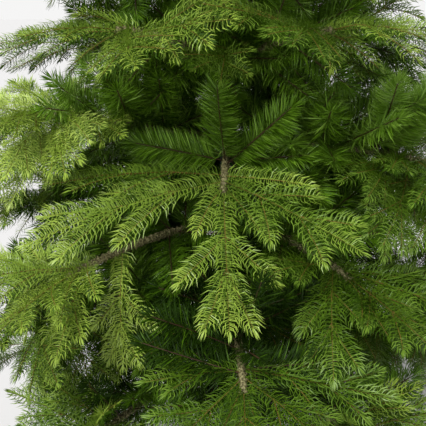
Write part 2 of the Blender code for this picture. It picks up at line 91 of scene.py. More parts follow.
@dataclass(frozen=True)
class Finish:
    """A surface of one colour and one gloss."""

    name: str
    colour: Colour
    roughness: float
    metallic: float = 0.0
    specular: float = 0.5

    def material(self) -> bpy.types.Material:
        """Finds the finish's material, or makes it on first use.

        Returns:
            The material.
        """
        made = bpy.data.materials.get(self.name)
        if made is None:
            made = bpy.data.materials.new(self.name)
            made.use_nodes = True
            shader = made.node_tree.nodes["Principled BSDF"]
            shader.inputs["Base Color"].default_value = (*self.colour, 1.0)
            shader.inputs["Roughness"].default_value = self.roughness
            shader.inputs["Metallic"].default_value = self.metallic
            shader.inputs["Specular IOR Level"].default_value = self.specular
            self.detail(made.node_tree, shader)
        return made

    def detail(self, tree: bpy.types.NodeTree, shader: bpy.types.Node) -> None:
        """Adds what the plain finish lacks; nothing here."""


@dataclass(frozen=True)
class Speckled(Finish):
    """A finish whose colour wavers between two shades in fine grains that also stand up a little."""

    second: Colour = (0.1, 0.1, 0.1)
    grain: float = 300.0
    height: float = 0.3
    depth: float = 0.0004
    octaves: float = 4.0
    shades_at: Pair = (0.38, 0.64)      # where in the noise each shade is whole

    def detail(self, tree: bpy.types.NodeTree, shader: bpy.types.Node) -> None:
        """Mixes the two shades by noise and bumps the surface with it.

        Args:
            tree: the material's nodes.
            shader: its Principled node.
        """
        place = tree.nodes.new("ShaderNodeTexCoord")
        noise = tree.nodes.new("ShaderNodeTexNoise")
        noise.inputs["Scale"].default_value = self.grain
        noise.inputs["Detail"].default_value = self.octaves
        ramp = tree.nodes.new("ShaderNodeValToRGB")
        for end, part, shade in zip(ramp.color_ramp.elements, self.shades_at, (self.colour, self.second)):
            end.position = part
            end.color = (*shade, 1.0)
        bump = tree.nodes.new("ShaderNodeBump")
        bump.inputs["Strength"].default_value = self.height
        bump.inputs["Distance"].default_value = self.depth
        tree.links.new(place.outputs["Object"], noise.inputs["Vector"])
        tree.links.new(noise.outputs["Fac"], ramp.inputs["Fac"])
        tree.links.new(ramp.outputs["Color"], shader.inputs["Base Color"])
        tree.links.new(noise.outputs["Fac"], bump.inputs["Height"])
        tree.links.new(bump.outputs["Normal"], shader.inputs["Normal"])


# Colour, roughness and shine of each tint; sunlit is a painted light tint and shade a painted shade tint
TINTS = {tint: Finish(f"needles {tint.value}", colour, roughness, specular=shine)
         for tint, colour, roughness, shine in (
             (Tint.SUNLIT, (0.430, 0.565, 0.105), 0.42, 0.42),
             (Tint.LIME, (0.290, 0.412, 0.050), 0.42, 0.42),
             (Tint.SPRING, (0.208, 0.324, 0.034), 0.43, 0.42),
             (Tint.MEADOW, (0.140, 0.244, 0.021), 0.44, 0.40),
             (Tint.MOSS, (0.078, 0.152, 0.007), 0.48, 0.22),
             (Tint.FERN, (0.035, 0.082, 0.003), 0.52, 0.12),
             (Tint.IVY, (0.205, 0.360, 0.042), 0.30, 0.46),
             (Tint.PINE, (0.122, 0.252, 0.012), 0.34, 0.32),
             (Tint.FOREST, (0.054, 0.122, 0.004), 0.42, 0.15),
             (Tint.SHADE, (0.015, 0.039, 0.002), 0.45, 0.12))}
# Each shoot's tint, and the three tones it is made of: a darker tone, which on soft sprays goes to needles
# under the twig as partly two-tone moulding and partly painted shade; its body; its tips
TONES = {
    Tint.SUNLIT: (Tint.MEADOW, Tint.SUNLIT, Tint.SUNLIT),
    Tint.LIME: (Tint.MOSS, Tint.LIME, Tint.LIME),
    Tint.SPRING: (Tint.FERN, Tint.SPRING, Tint.LIME),
    Tint.MEADOW: (Tint.FERN, Tint.MEADOW, Tint.SPRING),
    Tint.MOSS: (Tint.FERN, Tint.MOSS, Tint.MEADOW),
    Tint.FERN: (Tint.FERN, Tint.FERN, Tint.MOSS),
    Tint.IVY: (Tint.PINE, Tint.IVY, Tint.IVY),
    Tint.PINE: (Tint.FOREST, Tint.PINE, Tint.IVY),
    Tint.FOREST: (Tint.FOREST, Tint.FOREST, Tint.PINE),
    Tint.SHADE: (Tint.SHADE, Tint.SHADE, Tint.FOREST),
}
TWIG = Finish("moulded twig", (0.180, 0.118, 0.022), 0.60, specular=0.25)
CORE = Finish("brush wire", (0.050, 0.026, 0.010), 0.60, 0.1, 0.3)
TAPE = Speckled("wire wrap", (0.066, 0.055, 0.019), 0.66, specular=0.35,
                second=(0.310, 0.285, 0.130), grain=330.0, height=0.6, depth=0.0007)
POLE_PAINT = Speckled("pole paint", (0.022, 0.050, 0.024), 0.45, 0.2,
                      second=(0.030, 0.066, 0.032), grain=160.0, height=0.15, depth=0.0003)
STAND_STEEL = Speckled("stand steel", (0.018, 0.038, 0.021), 0.42, 0.5,
                       second=(0.026, 0.052, 0.029), grain=130.0, height=0.2, depth=0.0003)
ZINC = Speckled("zinc", (0.56, 0.56, 0.54), 0.34, 1.0,
                second=(0.66, 0.66, 0.64), grain=220.0, height=0.1, depth=0.0002)
RUBBER = Speckled("rubber", (0.018, 0.018, 0.019), 0.75,
                  second=(0.028, 0.028, 0.029), grain=500.0, height=0.25, depth=0.0002)
FLOOR_PAINT = Finish("floor", (0.765, 0.758, 0.754), 0.85, specular=0.2)


# Boughs on their curves by the model's rule, and what grows on each: its blades and many more shoots


def heading(azimuth: float, rise: float = 0.0) -> Vector:
    """A unit vector by degrees from the front, positive to the right, and degrees above level."""
    a, e = math.radians(azimuth), math.radians(rise)
    return Vector((math.sin(a) * math.cos(e), -math.cos(a) * math.cos(e), math.sin(e)))


class Kind(Enum):
    """What a shoot is."""

    SOFT = "soft"
    BRUSH = "brush"


class Form(Enum):
    """How far a soft spray branches."""

    TAIL = 0
    FORK = 1
    FEATHER = 2
    LATE = 3
    SLIM = 4


FormedLine = tuple[float | Form, ...]


@dataclass
class Shoot:
    """One soft spray or one brush tip: where it roots, where it points and how long it is."""

    kind: Kind
    root: Vector
    direction: Vector
    length: float
    tint: Tint
    outward: Vector         # the way its flat side turns
    form: Form = Form.FEATHER
    width: float = 0.50
    near: bool = False      # in full view, with more needles


@dataclass(frozen=True)
class FrontBough:
    """A bough in full view from the front: its own curve, its sprays and its brush tips one by one."""

    turn: float         # degrees from its place in the ring
    rise: float         # degrees above level at the pole
    sag: float          # how far it falls, for the square of the distance out
    reach: float
    sprays: tuple[FormedLine, ...] = ()
    brushes: Lines = ()
    open_foot: bool = False     # its foot stays in sight, with no tips that only thicken the inside
    facing: Optional[float] = None  # azimuth to which its flat sides turn; its own if none is given


@dataclass(frozen=True)
class Tier:
    """One ring of boughs."""

    height: float
    count: int
    turn: float         # azimuth of its first bough
    reach: float
    bare: float
    lift: float


@dataclass
class Bough:
    """A limb on its own curve, which rises from the pole and sags with the square of the distance."""

    name: str
    tier: int
    azimuth: float
    height: float
    rise: float
    sag: float
    reach: float
    bare: float         # distance out to which it bears nothing; none where foliage begins at the pole
    lift: float         # degrees by which its shoots point further up
    scale: float        # size of its shoots, as a share of full size
    draw: random.Random
    front: Optional[FrontBough]
    lot: Lot
    brush_lot: Lot
    thick: bool         # whether more sprays thicken its fan
    more_sprays: Lines
    more_brushes: Lines
    collar_radius: float = 0.0240
    collar_sides: int = 12
    seat_gap: float = 0.0003
    fan_back: float = 0.200

    def point(self, out: float) -> Vector:
        """The curve's point at a horizontal distance out from the pole's axis."""
        up = self.height + math.tan(math.radians(self.rise)) * out - self.sag * out * out
        return heading(self.azimuth) * out + Vector((0.0, 0.0, up))

    def tangent(self, out: float) -> Vector:
        """The curve's direction at that distance."""
        slope = math.tan(math.radians(self.rise)) - 2.0 * self.sag * out
        return (heading(self.azimuth) + Vector((0.0, 0.0, slope))).normalized()

    @property
    def facing(self) -> Vector:
        """The way the flat sides of its sprays turn."""
        given = self.front.facing if self.front else None
        return heading(self.azimuth if given is None else given)

    @property
    def start(self) -> float:
        """Where the limb meets the pole's collar, whose sides are flat.

        Returns:
            The distance out.
        """
        flat = 360.0 / self.collar_sides
        off_corner = abs((self.azimuth + flat / 2.0) % flat - flat / 2.0)
        return self.collar_radius * math.cos(math.radians(off_corner)) + self.seat_gap

    @property
    def foliage_start(self) -> float:
        """Distance out at which the foliage begins."""
        return self.bare if self.bare else self.start

    @property
    def joint(self) -> float:
        """Distance out from which the sprays of the fan spread."""
        return self.reach - self.fan_back * self.scale


@dataclass
class GrowthRule:
    """The tree's rings of boughs, the model's rule for their blades, and lists that only the scene adds."""

    seed: int = 307007
    tier_seeds: int = 100
    full_reach: float = 0.50
    turn_spread: float = 3.0
    rises: Pair = (8.0, 16.0)
    droops: Pair = (21.0, 30.0)
    reaches: Pair = (0.97, 1.0)
    rise_per_lift: float = 0.6
    scales: Pair = (0.42, 0.58)     # a short bough's shoots to full size, and what reach adds
    jitter_side: float = 7.0
    jitter_droop: float = 6.0
    jitter_per_lift: float = 0.7
    jitter_length: float = 0.09
    inner_room: float = 0.065
    hanging_from: float = 45.0
    least_past: float = 0.010
    root_grain: float = 1e5
    length_grain: float = 1e3
    tail_below: float = 0.135
    fork_below: float = 0.185
    brush_length: float = 0.155
    pole_top: float = 1.270
    leader_top: float = 1.800
    leader_tip: float = 0.165
    leader_count: int = 20
    leader_tails: int = 132
    leader_turn: float = 137.5
    leader_from: float = 0.022
    leader_to: float = 0.375
    leader_length: Pair = (0.235, 0.110)
    leader_rise: Pair = (2.0, 52.0)
    leader_tip_width: float = 0.40
    leader_tints: Lot = (Tint.MEADOW, Tint.SPRING, Tint.MOSS)
    tails_turn: float = 60.0
    tails_above: float = 0.030
    tail_tints: Lot = (Tint.MEADOW, Tint.SPRING)
    # Shoots the model hasn't, on the leader: rise at the foot and what it gains at the top, its step from one
    # to the next of three, length at the foot and what it loses at the top
    tail_brush: Line = (-8.0, 50.0, 11.0, 0.165, 0.080)
    tail_spray: Line = (-20.0, 60.0, 12.0, 0.210, 0.105)
    # Height, count, turn, reach, bare length and lift of each ring
    tiers: tuple[Tier, ...] = (
        Tier(0.358, 5, 36.0, 0.600, 0.110, 0.0),
        Tier(0.490, 5, 4.0, 0.580, 0.110, 0.0),
        Tier(0.622, 5, 36.0, 0.550, 0.105, 0.0),
        Tier(0.754, 5, -3.0, 0.505, 0.100, 0.0),
        Tier(0.890, 5, 33.0, 0.430, 0.0, 14.0),
        Tier(1.030, 4, 12.0, 0.370, 0.0, 18.0),
        Tier(1.165, 3, 50.0, 0.310, 0.0, 24.0),
    )
    # Distance back from the joint, angle to the bough's heading, droop below level, length
    fan: Lines = (
        (0.040, -80.0, 4.0, 0.245), (0.022, -50.0, 17.0, 0.250), (0.008, -30.0, 46.0, 0.105),
        (0.004, 33.0, 44.0, 0.115), (0.018, 58.0, 24.0, 0.245), (0.034, 84.0, 3.0, 0.150),
    )
    hanging: Line = (0.095, 8.0, 74.0, 0.180)
    # Distance past the start of the foliage, angle, droop, length
    inner: Lines = ((0.056, -64.0, 16.0, 0.205), (0.070, 66.0, 9.0, 0.205))
    # Sprays the model hasn't, in every fan but the front and open ones: distance back from the joint,
    # angle, droop, length
    thickening: Lines = (
        (0.062, -64.0, -22.0, 0.170), (0.070, 62.0, -18.0, 0.170), (0.100, -82.0, 26.0, 0.190),
        (0.115, 84.0, 24.0, 0.190), (0.030, 14.0, -26.0, 0.140), (0.085, -40.0, -38.0, 0.140),
        (0.090, 44.0, -36.0, 0.140), (0.050, 75.0, 40.0, 0.150), (0.050, -72.0, 42.0, 0.150),
    )
    # Distance past the start of the foliage, angle, rise above level; the solids have the first four
    brushes: Lines = (
        (0.016, -86.0, 8.0), (0.030, -18.0, 66.0), (0.022, 82.0, 16.0), (0.042, 42.0, 46.0),
        (0.036, -48.0, 40.0), (0.048, 16.0, -34.0),
    )
    # Brush tips the model hasn't, inside every bough but those with an open foot
    filling: Lines = (
        (0.004, -140.0, 30.0), (0.006, 145.0, 24.0), (0.012, 60.0, -30.0), (0.018, -64.0, -28.0),
        (0.060, -74.0, 24.0), (0.066, 70.0, 30.0), (0.085, -30.0, 28.0), (0.095, 34.0, 20.0),
    )
    # Brush tips the model hasn't, between the fan's sprays on every bough but the front ones
    among: Lines = (
        (0.120, 40.0, -62.0), (0.140, -82.0, 26.0), (0.150, 86.0, -46.0), (0.165, -20.0, 52.0),
        (0.180, 72.0, 30.0), (0.190, -68.0, -50.0), (0.230, -96.0, 8.0), (0.240, 98.0, 14.0),
    )
    # Brush tips the model hasn't, on boughs at the sides and back: distance past the start, angle, rise
    backing: Lines = (
        (0.010, -60.0, 60.0), (0.030, 60.0, -55.0), (0.045, -100.0, 20.0), (0.060, 105.0, -10.0),
        (0.075, -90.0, -40.0), (0.090, 90.0, 45.0), (0.105, -110.0, 0.0), (0.120, 110.0, 15.0),
    )
    back_from: float = 78.0
    # The tints dealt to the shoots, and those of some boughs by tier and place: their lighter lots are
    # painted light and their darker lots painted shade
    lot: Lot = (Tint.SPRING, Tint.MEADOW, Tint.MEADOW, Tint.MOSS)
    lots: dict[Place, Lot] = field(default_factory=lambda: {
        (3, 0): (Tint.MEADOW, Tint.SPRING), (3, 4): (Tint.SUNLIT, Tint.LIME),
        (2, 4): (Tint.SPRING, Tint.LIME), (2, 3): (Tint.SPRING, Tint.LIME),
        (3, 1): (Tint.MOSS, Tint.MEADOW, Tint.MOSS),
        (2, 0): (Tint.MOSS, Tint.FERN, Tint.MOSS), (1, 0): (Tint.FERN, Tint.FERN, Tint.MOSS),
        (1, 1): (Tint.FERN, Tint.MOSS)})
    brush_lot: Lot = (Tint.PINE, Tint.FOREST)
    # Brush tints by tier and place: the forest and shade lots are painted shade, the ivy lots painted light
    brush_lots: dict[Place, Lot] = field(default_factory=lambda: {
        (1, 0): (Tint.SHADE,), (0, 0): (Tint.FOREST, Tint.SHADE), (0, 4): (Tint.FOREST, Tint.SHADE),
        (2, 4): (Tint.FOREST,), (2, 0): (Tint.FOREST,), (3, 0): (Tint.PINE,), (3, 1): (Tint.PINE, Tint.IVY),
        (3, 4): (Tint.PINE, Tint.IVY), (4, 1): (Tint.PINE, Tint.IVY)})
    # Shoots the model hasn't, on some boughs to close gaps: distance out, angle, droop or rise, length
    more_sprays: dict[Place, Lines] = field(default_factory=lambda: {
        (2, 3): ((0.350, 87.0, -8.0, 0.170), (0.300, 100.0, -16.0, 0.170), (0.200, 10.0, 6.0, 0.230)),
        (2, 4): ((0.300, -60.0, 40.0, 0.200),),
        (1, 4): ((0.300, 20.0, 8.0, 0.230), (0.340, 42.0, -4.0, 0.210), (0.260, 60.0, 10.0, 0.210))})
    more_brushes: dict[Place, Lines] = field(default_factory=lambda: {
        (2, 3): ((0.290, 97.0, -6.0, 0.180), (0.200, 110.0, 10.0, 0.160)),
        (4, 1): ((0.200, -30.0, -16.0, 0.160), (0.240, 10.0, -26.0, 0.160), (0.150, -60.0, -20.0, 0.160),
                 (0.250, -30.0, -42.0, 0.160), (0.280, -10.0, -60.0, 0.160), (0.220, -50.0, -52.0, 0.160)),
        (4, 4): ((0.150, -41.0, -45.0, 0.130), (0.130, -70.0, -35.0, 0.130)),
        (4, 0): ((0.150, 52.0, -35.0, 0.140), (0.120, 70.0, -48.0, 0.130)),
        (3, 1): ((0.280, 0.0, -60.0, 0.160), (0.310, 40.0, -62.0, 0.170), (0.330, -20.0, -40.0, 0.170),
                 (0.300, 90.0, -35.0, 0.160)),
        (1, 0): ((0.180, 18.0, 40.0, 0.150), (0.240, -16.0, 34.0, 0.150), (0.280, 12.0, 14.0, 0.120)),
        (3, 2): ((0.230, -40.0, 40.0, 0.160), (0.300, -60.0, 52.0, 0.170), (0.140, -30.0, 55.0, 0.160),
                 (0.120, 40.0, 30.0, 0.160)),
        (4, 2): ((0.120, -50.0, -10.0, 0.160), (0.160, -60.0, -25.0, 0.160), (0.200, -40.0, -30.0, 0.160))})
    # Brush tips the model hasn't, which stand up round the pole on the highest ring
    neck: Lines = (
        (0.030, -50.0, 58.0, 0.140), (0.030, 0.0, 66.0, 0.140), (0.030, 50.0, 58.0, 0.140),
    )
    # Boughs whose fans stay as open as the rule leaves them
    open_fans: tuple[Place, ...] = ((1, 0),)
    # Turn, rise, sag and reach, then the shoots, more than the model's: distance out, angle, droop or rise,
    # length
    front: dict[Place, FrontBough] = field(default_factory=lambda: {
        (3, 0): FrontBough(
            0.0, 10.0, 1.47, 0.400,
            sprays=((0.200, 5.0, 40.0, 0.245, Form.LATE), (0.165, -77.0, 1.0, 0.275, Form.SLIM),
                    (0.182, -69.0, 13.5, 0.316, Form.SLIM), (0.194, -26.0, 32.0, 0.105),
                    (0.196, 38.0, 28.0, 0.110), (0.182, 56.0, 16.0, 0.250),
                    (0.168, 78.0, 3.0, 0.140, Form.TAIL)),
            brushes=((0.115, -83.0, 12.0, 0.160), (0.125, -9.0, 63.0, 0.165), (0.132, 66.0, 42.0, 0.160),
                     (0.118, 74.0, 8.0, 0.150), (0.088, -86.0, 16.0, 0.120), (0.086, 84.0, 20.0, 0.120),
                     (0.082, -20.0, 70.0, 0.110), (0.076, 30.0, -30.0, 0.100)),
            open_foot=True),
        (3, 1): FrontBough(
            1.0, 10.0, 0.55, 0.520,
            sprays=((0.320, 0.0, 16.0, 0.205), (0.300, 76.0, -14.0, 0.200), (0.285, -86.0, -3.0, 0.150),
                    (0.262, -88.0, 11.0, 0.180), (0.300, -92.0, 28.0, 0.210), (0.275, -110.0, 6.0, 0.160),
                    (0.312, -60.0, 15.0, 0.220), (0.290, 60.0, 20.0, 0.220),
                    (0.290, -90.0, 45.0, 0.190), (0.310, -65.0, 45.0, 0.190)),
            brushes=((0.110, -76.0, 11.0, 0.150), (0.168, -72.0, 1.0, 0.150), (0.150, 10.0, 33.0, 0.160),
                     (0.125, -40.0, 48.0, 0.150), (0.195, -9.0, 34.0, 0.175), (0.240, 50.0, 25.0, 0.155),
                     (0.230, 40.0, -20.0, 0.155), (0.260, -40.0, -30.0, 0.150), (0.120, 30.0, 62.0, 0.160),
                     (0.240, 0.0, 44.0, 0.170), (0.270, 40.0, 50.0, 0.165), (0.270, 110.0, 55.0, 0.160),
                     (0.250, -60.0, 58.0, 0.155)),
            facing=18.0),
        (3, 4): FrontBough(
            0.0, 20.0, 0.45, 0.505,
            sprays=((0.305, 0.0, 0.0, 0.200, Form.SLIM), (0.290, -59.0, 2.0, 0.220, Form.SLIM),
                    (0.300, 64.0, -2.0, 0.200, Form.SLIM), (0.275, 97.0, 4.0, 0.180),
                    (0.285, 88.0, 17.0, 0.200, Form.SLIM), (0.298, 66.0, 18.0, 0.200, Form.SLIM),
                    (0.240, 105.0, 3.0, 0.150), (0.262, -98.0, -10.0, 0.200, Form.SLIM),
                    (0.200, -20.0, 8.0, 0.230, Form.SLIM), (0.180, -8.0, 17.0, 0.230, Form.SLIM),
                    (0.220, 5.0, 34.0, 0.230, Form.SLIM),
                    (0.300, -4.0, 26.0, 0.200, Form.SLIM), (0.250, 12.0, 30.0, 0.210, Form.SLIM),
                    (0.280, -67.0, -12.0, 0.185, Form.SLIM), (0.320, 20.0, 14.0, 0.180, Form.SLIM)),
            brushes=((0.112, 75.0, 45.0, 0.150), (0.140, 48.0, 38.0, 0.160), (0.130, 35.0, -8.0, 0.160),
                     (0.125, -80.0, 25.0, 0.150), (0.150, -40.0, 45.0, 0.160), (0.205, 45.0, 30.0, 0.145),
                     (0.230, -70.0, 4.0, 0.150), (0.130, 85.0, 55.0, 0.160), (0.130, 62.0, 60.0, 0.160)),
            facing=-12.0),
        (2, 4): FrontBough(
            -4.0, 10.0, 0.50, 0.550,
            sprays=((0.345, 14.0, 10.0, 0.205), (0.252, 42.0, 66.0, 0.183, Form.LATE),
                    (0.338, -74.0, 10.0, 0.200), (0.340, 36.0, 16.0, 0.130), (0.325, 55.0, 6.0, 0.105),
                    (0.330, -45.0, 6.0, 0.230), (0.332, 30.0, 34.0, 0.160), (0.320, -98.0, 14.0, 0.210)),
            brushes=((0.150, 45.0, -19.0, 0.150), (0.140, -52.0, 40.0, 0.150), (0.125, -60.0, 10.0, 0.160),
                     (0.135, 85.0, 10.0, 0.150), (0.112, -140.0, 30.0, 0.150)),
            open_foot=True),
        (2, 0): FrontBough(
            0.0, 10.0, 0.80, 0.490,
            sprays=((0.290, -5.0, 15.0, 0.200), (0.262, -42.0, 36.0, 0.200), (0.282, -18.0, 17.0, 0.155),
                    (0.278, 75.0, 13.0, 0.200), (0.258, -79.0, -10.0, 0.150), (0.270, -79.0, 36.0, 0.120),
                    (0.272, 48.0, 18.0, 0.220)),
            brushes=((0.150, -52.0, -21.0, 0.150), (0.142, 44.0, 8.0, 0.150), (0.125, 0.0, 55.0, 0.150),
                     (0.120, 85.0, 15.0, 0.150))),
        (4, 0): FrontBough(0.0, 24.0, 0.67, 0.430),
        (4, 4): FrontBough(0.0, 24.0, 0.67, 0.430),
    })

    def boughs(self) -> list[Bough]:
        """Sets out every bough of the tree.

        Returns:
            The boughs, ring by ring from the lowest.
        """
        made = []
        for t, tier in enumerate(self.tiers):
            for k in range(tier.count):
                draw = random.Random(self.seed + self.tier_seeds * t + k)
                azimuth = tier.turn + 360.0 / tier.count * k
                azimuth += draw.uniform(-self.turn_spread, self.turn_spread)
                rise = draw.uniform(*self.rises) + self.rise_per_lift * tier.lift
                droop = draw.uniform(*self.droops)
                reach = tier.reach * draw.uniform(*self.reaches)
                sag = (math.tan(math.radians(rise)) + math.tan(math.radians(droop))) / (2.0 * reach)
                front = self.front.get((t, k))
                if front:
                    azimuth = tier.turn + 360.0 / tier.count * k + front.turn
                    rise, sag, reach = front.rise, front.sag, front.reach
                least, gain = self.scales
                more = self.neck if tier is self.tiers[-1] else ()
                made.append(Bough(
                    f"tier{t + 1}_{k + 1}", t + 1, azimuth, tier.height, rise, sag, reach, tier.bare,
                    tier.lift, min(1.0, least + gain * tier.reach / self.full_reach), draw, front,
                    self.lots.get((t, k), self.lot), self.brush_lots.get((t, k), self.brush_lot),
                    not front and (t, k) not in self.open_fans,
                    self.more_sprays.get((t, k), ()), self.more_brushes.get((t, k), more)))
        return made

    def jittered(self, draw: random.Random, side: float, droop: float, length: float, spread: float) -> Line:
        """Moves one line of a fan a little.

        Args:
            draw: the bough's own draw.
            side: angle to the bough's heading.
            droop: angle below level, or above it for a brush tip.
            length: the shoot's length.
            spread: most change of the droop.

        Returns:
            The angle, droop and length as drawn.
        """
        return (side + draw.uniform(-self.jitter_side, self.jitter_side),
                droop + draw.uniform(-spread, spread),
                length * (1.0 + draw.uniform(-self.jitter_length, self.jitter_length)))

    def shoots(self, bough: Bough) -> list[Shoot]:
        """What grows on one bough.

        Args:
            bough: the limb.

        Returns:
            The spray at its tip, the fan, the inner sprays and the brush tips.
        """
        if bough.front and bough.front.sprays:
            made = [self.soft(bough, bough.point(out), heading(bough.azimuth + side, -droop), length, *form)
                    for out, side, droop, length, *form in bough.front.sprays]
            made += [self.brush(bough, bough.point(out), heading(bough.azimuth + side, rise), length, True)
                     for out, side, rise, length in bough.front.brushes]
            flip = 1.0
        else:
            flip = -1.0 if bough.draw.random() < 0.5 else 1.0
            made = self.fan_of(bough, flip)
            for past, side, rise in self.brushes:
                made.append(self.drawn_brush(bough, past, side, rise, flip))
        for past, side, rise in self.filling:
            if not (bough.front and bough.front.open_foot):
                made.append(self.drawn_brush(bough, past, side, rise, flip))
        if not bough.front:
            made += [self.drawn_brush(bough, *line, flip) for line in self.among]
        if math.cos(math.radians(bough.azimuth)) < math.cos(math.radians(self.back_from)):
            made += [self.drawn_brush(bough, *line, flip) for line in self.backing]
        made += [self.soft(bough, bough.point(out), heading(bough.azimuth + side, -droop), length)
                 for out, side, droop, length in bough.more_sprays]
        made += [self.brush(bough, bough.point(out), heading(bough.azimuth + side, rise), length)
                 for out, side, rise, length in bough.more_brushes]
        if bough.thick:
            least = bough.foliage_start + self.least_past
            for back, *line in self.thickening:
                side, droop, length = self.jittered(bough.draw, *line, self.jitter_droop)
                root = bough.point(max(least, bough.joint - back * bough.scale))
                direction = heading(bough.azimuth + flip * side, bough.lift - droop)
                made.append(self.soft(bough, root, direction, length * bough.scale))
        return made

    def fan_of(self, bough: Bough, flip: float) -> list[Shoot]:
        """The spray at a bough's tip, its fan, its hanging spray and its inner ones.

        Args:
            bough: the limb.
            flip: -1 where the bough's sides are swapped.

        Returns:
            The sprays.
        """
        joint = bough.point(bough.joint)
        along = bough.point(bough.reach) - joint
        made = [self.soft(bough, joint, along.normalized(), along.length)]
        lines = [(bough.joint - back * bough.scale, *line) for back, *line in self.fan]
        lines += [(bough.foliage_start + past * bough.scale, *line) for past, *line in self.inner]
        if bough.bare:
            lines.append((bough.joint - self.hanging[0], *self.hanging[1:]))
        spread = self.jitter_droop + (0.0 if bough.front else self.jitter_per_lift * bough.lift)
        crowded = bough.joint - self.inner_room * bough.scale
        for place, (out, *line) in enumerate(lines):
            side, droop, length = self.jittered(bough.draw, *line, spread)
            if place >= len(self.fan) and line[1] < self.hanging_from and out > crowded:
                continue
            direction = heading(bough.azimuth + flip * side, bough.lift - droop)
            made.append(self.soft(bough, bough.point(out), direction, length * bough.scale))
        return made

    def drawn_brush(self, bough: Bough, past: float, side: float, rise: float, flip: float) -> Shoot:
        """A brush tip moved a little by its bough's draw.

        Args:
            bough: the limb it stands on.
            past: distance past the start of the foliage.
            side: angle to the bough's heading.
            rise: angle above level.
            flip: -1 where the bough's sides are swapped.

        Returns:
            The brush tip.
        """
        side, rise, length = self.jittered(bough.draw, side, rise, self.brush_length, self.jitter_droop)
        root = bough.point(bough.foliage_start + past * bough.scale)
        return self.brush(bough, root, heading(bough.azimuth + flip * side, rise), length * bough.scale)

    def form(self, length: float) -> Form:
        """How far a spray of that length branches."""
        short = Form.TAIL if length < self.tail_below else Form.FORK
        return short if length < self.fork_below else Form.FEATHER

    def soft(self, bough: Bough, root: Vector, direction: Vector, length: float,
             form: Optional[Form] = None) -> Shoot:
        """A soft spray, its tint drawn from its place, and its form from its length if none is given."""
        return Shoot(Kind.SOFT, root, direction, length, self.dealt(bough.lot, root, length), bough.facing,
                     form or self.form(length), near=bool(bough.front and bough.front.sprays))

    def brush(self, bough: Bough, root: Vector, direction: Vector, length: float,
              near: bool = False) -> Shoot:
        """A brush tip, its tint drawn from its place, with more needles where it is near."""
        return Shoot(Kind.BRUSH, root, direction, length, self.dealt(bough.brush_lot, root, length),
                     bough.facing, near=near)

    def dealt(self, lot: Lot, root: Vector, length: float) -> Tint:
        """A tint from a lot, drawn by where a shoot roots and how long it is."""
        grain = round(self.root_grain * root.length) + round(self.length_grain * length)
        return random.Random(grain).choice(lot)

    def leader(self) -> list[Shoot]:
        """What grows on the leader above the pole.

        Returns:
            Its tip, its winding sprays, and the shoots between them.
        """
        draw = random.Random(self.seed)
        tip = Vector((0.0, 0.0, self.leader_top - self.leader_tip))
        made = [Shoot(Kind.SOFT, tip, Vector((0.0, 0.0, 1.0)), self.leader_tip, Tint.MEADOW, heading(0.0),
                      width=self.leader_tip_width)]
        for i in range(self.leader_count):
            share = i / (self.leader_count - 1)
            up, rise, length = (low + (high - low) * share for low, high in (
                (self.leader_from, self.leader_to), self.leader_rise, self.leader_length))
            azimuth, rise, length = self.jittered(draw, self.leader_turn * i, rise, length, self.jitter_droop)
            root = Vector((0.0, 0.0, self.pole_top + up))
            tint = self.leader_tints[i % len(self.leader_tints)]
            made.append(Shoot(Kind.SOFT, root, heading(azimuth, rise), length, tint, heading(azimuth),
                              self.form(length)))
        for i in range(self.leader_tails):
            share = i / (self.leader_tails - 1)
            azimuth = self.tails_turn + self.leader_turn * i
            up = self.pole_top + self.leader_from + (self.leader_to + self.tails_above) * share
            low, gain, step, length, loss = self.tail_brush if i % 2 else self.tail_spray
            tint = Tint.PINE if i % 2 else self.tail_tints[i // 2 % len(self.tail_tints)]
            direction = heading(azimuth, low + gain * share + step * (i % 3))
            made.append(Shoot(Kind.BRUSH if i % 2 else Kind.SOFT, Vector((0.0, 0.0, up)), direction,
                              length - loss * share, tint, heading(azimuth), Form.FORK))
        return made


# Twigs and needles

TINY = 1e-12            # least length that a row is divided by
LEAST_ACROSS = 0.1      # a shoot nearer to upright than this gets a fixed direction across


def unit(rows: np.ndarray) -> np.ndarray:
    """Rows scaled to length one."""
    return rows / np.maximum(np.linalg.norm(rows, axis=-1, keepdims=True), TINY)


def tube_faces(steps: int, sides: int) -> list[tuple[int, int, int]]:
    """The triangles of a tube's wall.

    Args:
        steps: how many rings of faces it has.
        sides: how many sides it has.

    Returns:
        The triangles, by place in the rows of its rings.
    """
    faces = []
    for a in range(0, steps * sides, sides):
        b = a + sides
        for i in range(sides):
            j = (i + 1) % sides
            faces += [(a + i, a + j, b + j), (a + i, b + j, b + i)]
    return faces


@dataclass
class Twig:
    """A thin stem on a shallow arch, given by its ends and the point that pulls its middle."""

    start: np.ndarray
    pull: np.ndarray
    end: np.ndarray
    over: np.ndarray
    radius: float
    end_radius: float
    bare: float = 0.05

    def at(self, share: np.ndarray) -> np.ndarray:
        """Points at shares of its run."""
        s = share[:, None]
        return (1 - s) ** 2 * self.start + 2 * s * (1 - s) * self.pull + s ** 2 * self.end

    def along(self, share: np.ndarray) -> np.ndarray:
        """Directions at shares of its run."""
        s = share[:, None]
        return unit((1 - s) * (self.pull - self.start) + s * (self.end - self.pull))

    @property
    def length(self) -> float:
        """Its length, near enough for a shallow arch."""
        return float(np.linalg.norm(self.end - self.start))


